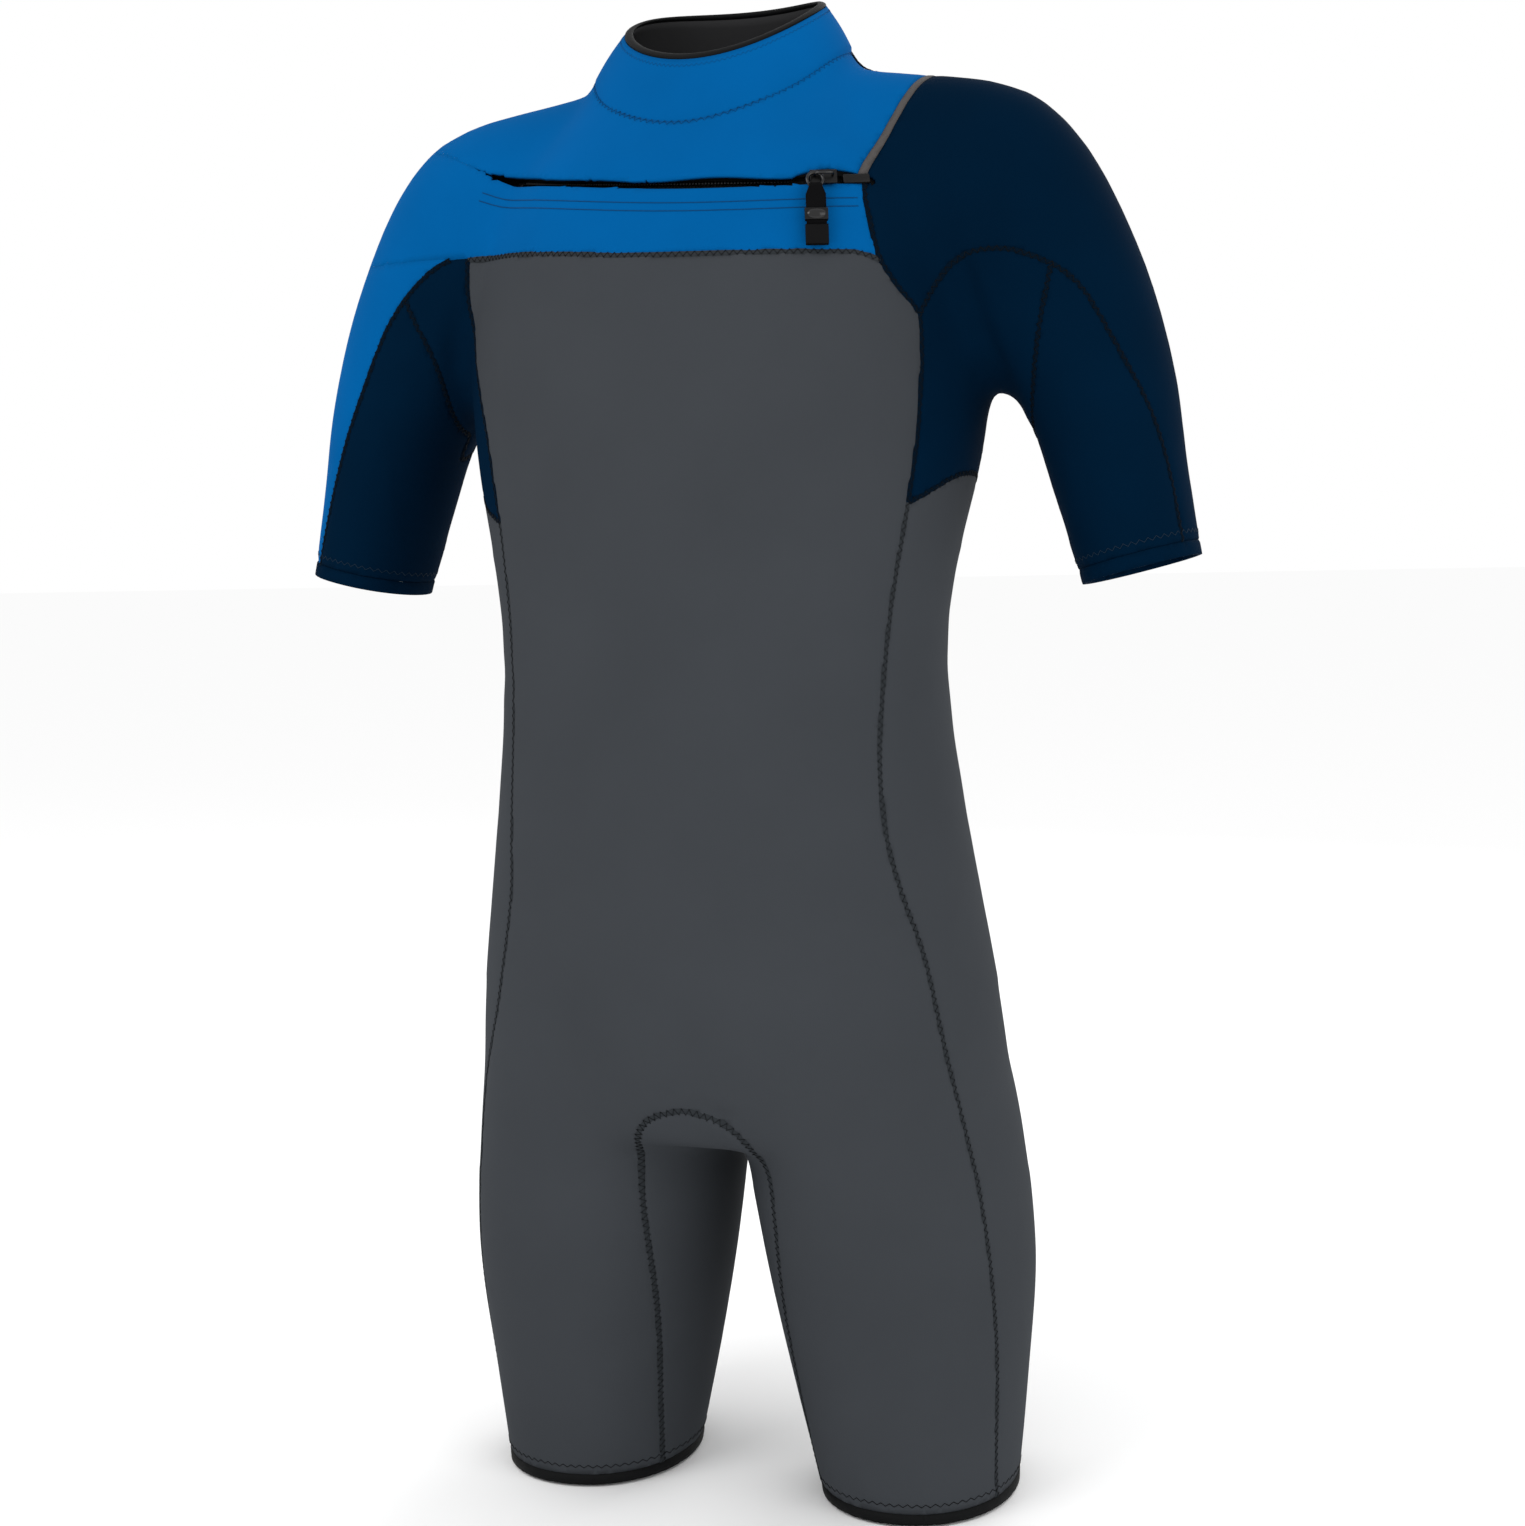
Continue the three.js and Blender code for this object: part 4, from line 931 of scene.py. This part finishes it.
WEB_HALF, WEB_TIP, LAYER = 6.2, 30.0, 0.9
fold = RING_WIRE + 0.15 + LAYER / 2
profile = [(0.55, WEB_TIP), (0.55, 12), (0.6, 8), (0.9, 5)]
profile += [(fold * math.cos(t), -fold * math.sin(t)) for t in np.linspace(-0.5, math.pi + 0.5, 15)]
profile += [(-0.9, 5), (-0.6, 8), (-0.55, 12), (-0.55, WEB_TIP)]
webbing = bmesh.new()
rank = webbing.verts.layers.float.new("rank")
row = [webbing.verts.new((0, 0, 0)) for _ in range(5)]
for i, vert in enumerate(row):
    vert[rank] = i / 2 - 1
edges = [webbing.edges.new(pair) for pair in zip(row, row[1:])]
for k, (out, down) in enumerate(profile):
    if k:
        grown = bmesh.ops.extrude_edge_only(webbing, edges=edges)["geom"]
        row = [g for g in grown if isinstance(g, bmesh.types.BMVert)]
        edges = [g for g in grown if isinstance(g, bmesh.types.BMEdge)]
    half = WEB_HALF - 2.2 * max(0, 1 - max(down, 0) / 4)
    for vert in row:
        vert.co = (BAR + ALONG * half * vert[rank] + OUT * out + DOWN * down) * MM
bmesh.ops.recalc_face_normals(webbing, faces=webbing.faces)
webbing_area = sum(f.calc_area() for f in webbing.faces)
webbing_piece = show(webbing, "pull_webbing_cloth", WEBBING)
thicken(webbing_piece, LAYER, 0)
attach(webbing_piece, "pull")
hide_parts("pull_webbing")

snap = bmesh.new()
bmesh.ops.create_uvsphere(snap, u_segments=40, v_segments=20, radius=1)
bmesh.ops.transform(snap, matrix=Matrix.Diagonal((6.3, 3.6, 2.0, 1)), verts=snap.verts)
middle = BAR + DOWN * 17.75 + OUT * 1.1
bmesh.ops.transform(snap, matrix=axes(middle, ALONG, DOWN, OUT), verts=snap.verts)
join([snap], "pull_snap_dome", GLOSS, "pull")
rounded("pull_keeper", "pull_keeper_clip", PLASTIC, "pull", 0.9, 4)

# %% [markdown]
# ## Collar
# The collar stands in the neck's opening. It is lower at the throat than behind, and a rolled edge
# runs round its rim.

# %% collar
FOOT = dict(width=86, depth=78, y=-10, side=6, rise=27, dip=27)
RIM = dict(width=68, depth=62, y=-4, side=34, rise=25, dip=12)


def collar_point(turn, level, inset):
    """A point of the collar at a level from 0, its foot, to 1, its rim."""
    part = {key: FOOT[key] + (RIM[key] - FOOT[key]) * level for key in FOOT}
    wide = {key: FOOT[key] + (RIM[key] - FOOT[key]) * max(level, 0) for key in FOOT}
    back = math.sin(turn)
    swell = 1.1 * math.sin(math.pi * min(max(level, 0), 1))
    height = part["side"] + part["rise"] * back - part["dip"] * back * back
    return Vector((
        (wide["width"] - inset + swell) * math.cos(turn),
        wide["y"] + SHIFT + (wide["depth"] - inset + swell) * back,
        956 + height,
    )) * MM


def collar_band(name, node, levels, insets, look, thickness):
    """A band of the collar: one ring for each level."""
    bm = bmesh.new()
    turn = bm.verts.layers.float.new("turn")
    ring = bmesh.ops.create_circle(bm, segments=120, radius=1)["verts"]
    for i, vert in enumerate(ring):
        vert[turn] = 2 * math.pi * i / 120
    edges = list({e for v in ring for e in v.link_edges})
    for k, (level, inset) in enumerate(zip(levels, insets)):
        if k:
            grown = bmesh.ops.extrude_edge_only(bm, edges=edges)["geom"]
            ring = [g for g in grown if isinstance(g, bmesh.types.BMVert)]
            edges = [g for g in grown if isinstance(g, bmesh.types.BMEdge)]
        for vert in ring:
            vert.co = collar_point(vert[turn], level, inset)
    bmesh.ops.recalc_face_normals(bm, faces=bm.faces)
    area = sum(f.calc_area() for f in bm.faces)
    piece = show(bm, name, look)
    if thickness:
        thicken(piece, thickness, -1, LINING)
    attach(piece, "entry_flap")
    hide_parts(node)
    return piece


STEPS = [i / 8 for i in range(-5, 9)]
collar_band("collar_outer_cloth", "collar_outer", STEPS, [0] * len(STEPS), BLUE, 2.2)
collar_band("collar_lining_cloth", "collar_lining", STEPS[5:], [3.1] * 9, LINING, 1.5)
roll = [2 * math.pi * i / 12 for i in range(13)]
rolled = collar_band(
    "collar_rim_tape", "collar_rim",
    [1.045 + 0.055 * math.sin(t) for t in roll], [2.2 - 2.6 * math.cos(t) for t in roll], BINDING, 0,
)
rim_row = [[collar_point(t, 0.9 + (0.02 if i % 2 else -0.02), 0) for i, t in
            enumerate(np.linspace(0, 2 * math.pi, 261))]]
threads([np.array(rim_row[0]) * 1.0], "collar_rim_zigzag", THREAD_BLUE, "entry_flap", 0.35)

# %% [markdown]
# ## Placket stitches
# Two rows of stitches hold the zip's tape below the opening.

# %% placket
rows = []
for up in (-13, -18.5):
    points = [zip_point(angle, 3, up) for angle in np.arange(-44, 29, 0.8)]
    at, normal = on_skin(points)
    rows.append(at + normal * 0.05 * MM)
threads(rows, "placket_stitches", THREAD_BLUE, "suit", 0.7)

# %% [markdown]
# ## Room
# A plain pale floor under a plain white background, soft lights, and a camera a little above the waist that
# looks down by five degrees.

# %% room
floor = bmesh.new()
bmesh.ops.create_grid(floor, x_segments=1, y_segments=1, size=60, matrix=Matrix.Translation((0, 0, -0.002)))
ground = show(floor, "floor", material("pale_floor_paint", "#fbfbfb", 1.0, specular=0.0), False)

world = bpy.context.scene.world or bpy.data.worlds.new("world")
bpy.context.scene.world = world
world.use_nodes = True
world.node_tree.nodes["Background"].inputs["Color"].default_value = (1, 1, 1, 1)
world.node_tree.nodes["Background"].inputs["Strength"].default_value = 1.0


def softbox(name, at, aim, size, power):
    """A square soft light at a place, turned to a point."""
    data = bpy.data.lights.new(name, "AREA")
    data.shape = "SQUARE"
    data.size = size
    data.energy = power
    made = bpy.data.objects.new(name, data)
    made.location = at
    made.rotation_euler = (Vector(aim) - Vector(at)).to_track_quat("-Z", "Y").to_euler()
    bpy.context.scene.collection.objects.link(made)
    return made


softbox("key_light", (-1.2, -2.2, 2.4), (0, 0, 0.6), 1.4, 26)
softbox("fill_light", (2.4, -1.4, 1.4), (0, 0, 0.6), 1.8, 16)
softbox("rim_light", (0.5, 2.2, 2.2), (0, 0, 0.8), 1.6, 18)

lens = bpy.data.cameras.new("camera")
lens.lens = 55.4
lens.sensor_width = 36
lens.shift_x = 0.013
camera = bpy.data.objects.new("camera", lens)
camera.location = (0.5472, -1.5035 + SHIFT * MM, 0.634)
turn = Matrix.Rotation(math.radians(20), 4, "Z") @ Matrix.Rotation(math.radians(85), 4, "X")
camera.rotation_euler = (turn @ Matrix.Rotation(math.radians(-1.2), 4, "Z")).to_euler()
bpy.context.scene.collection.objects.link(camera)
bpy.context.scene.camera = camera
bpy.context.scene.view_settings.view_transform = "Standard"

# %% finish
skin.free()
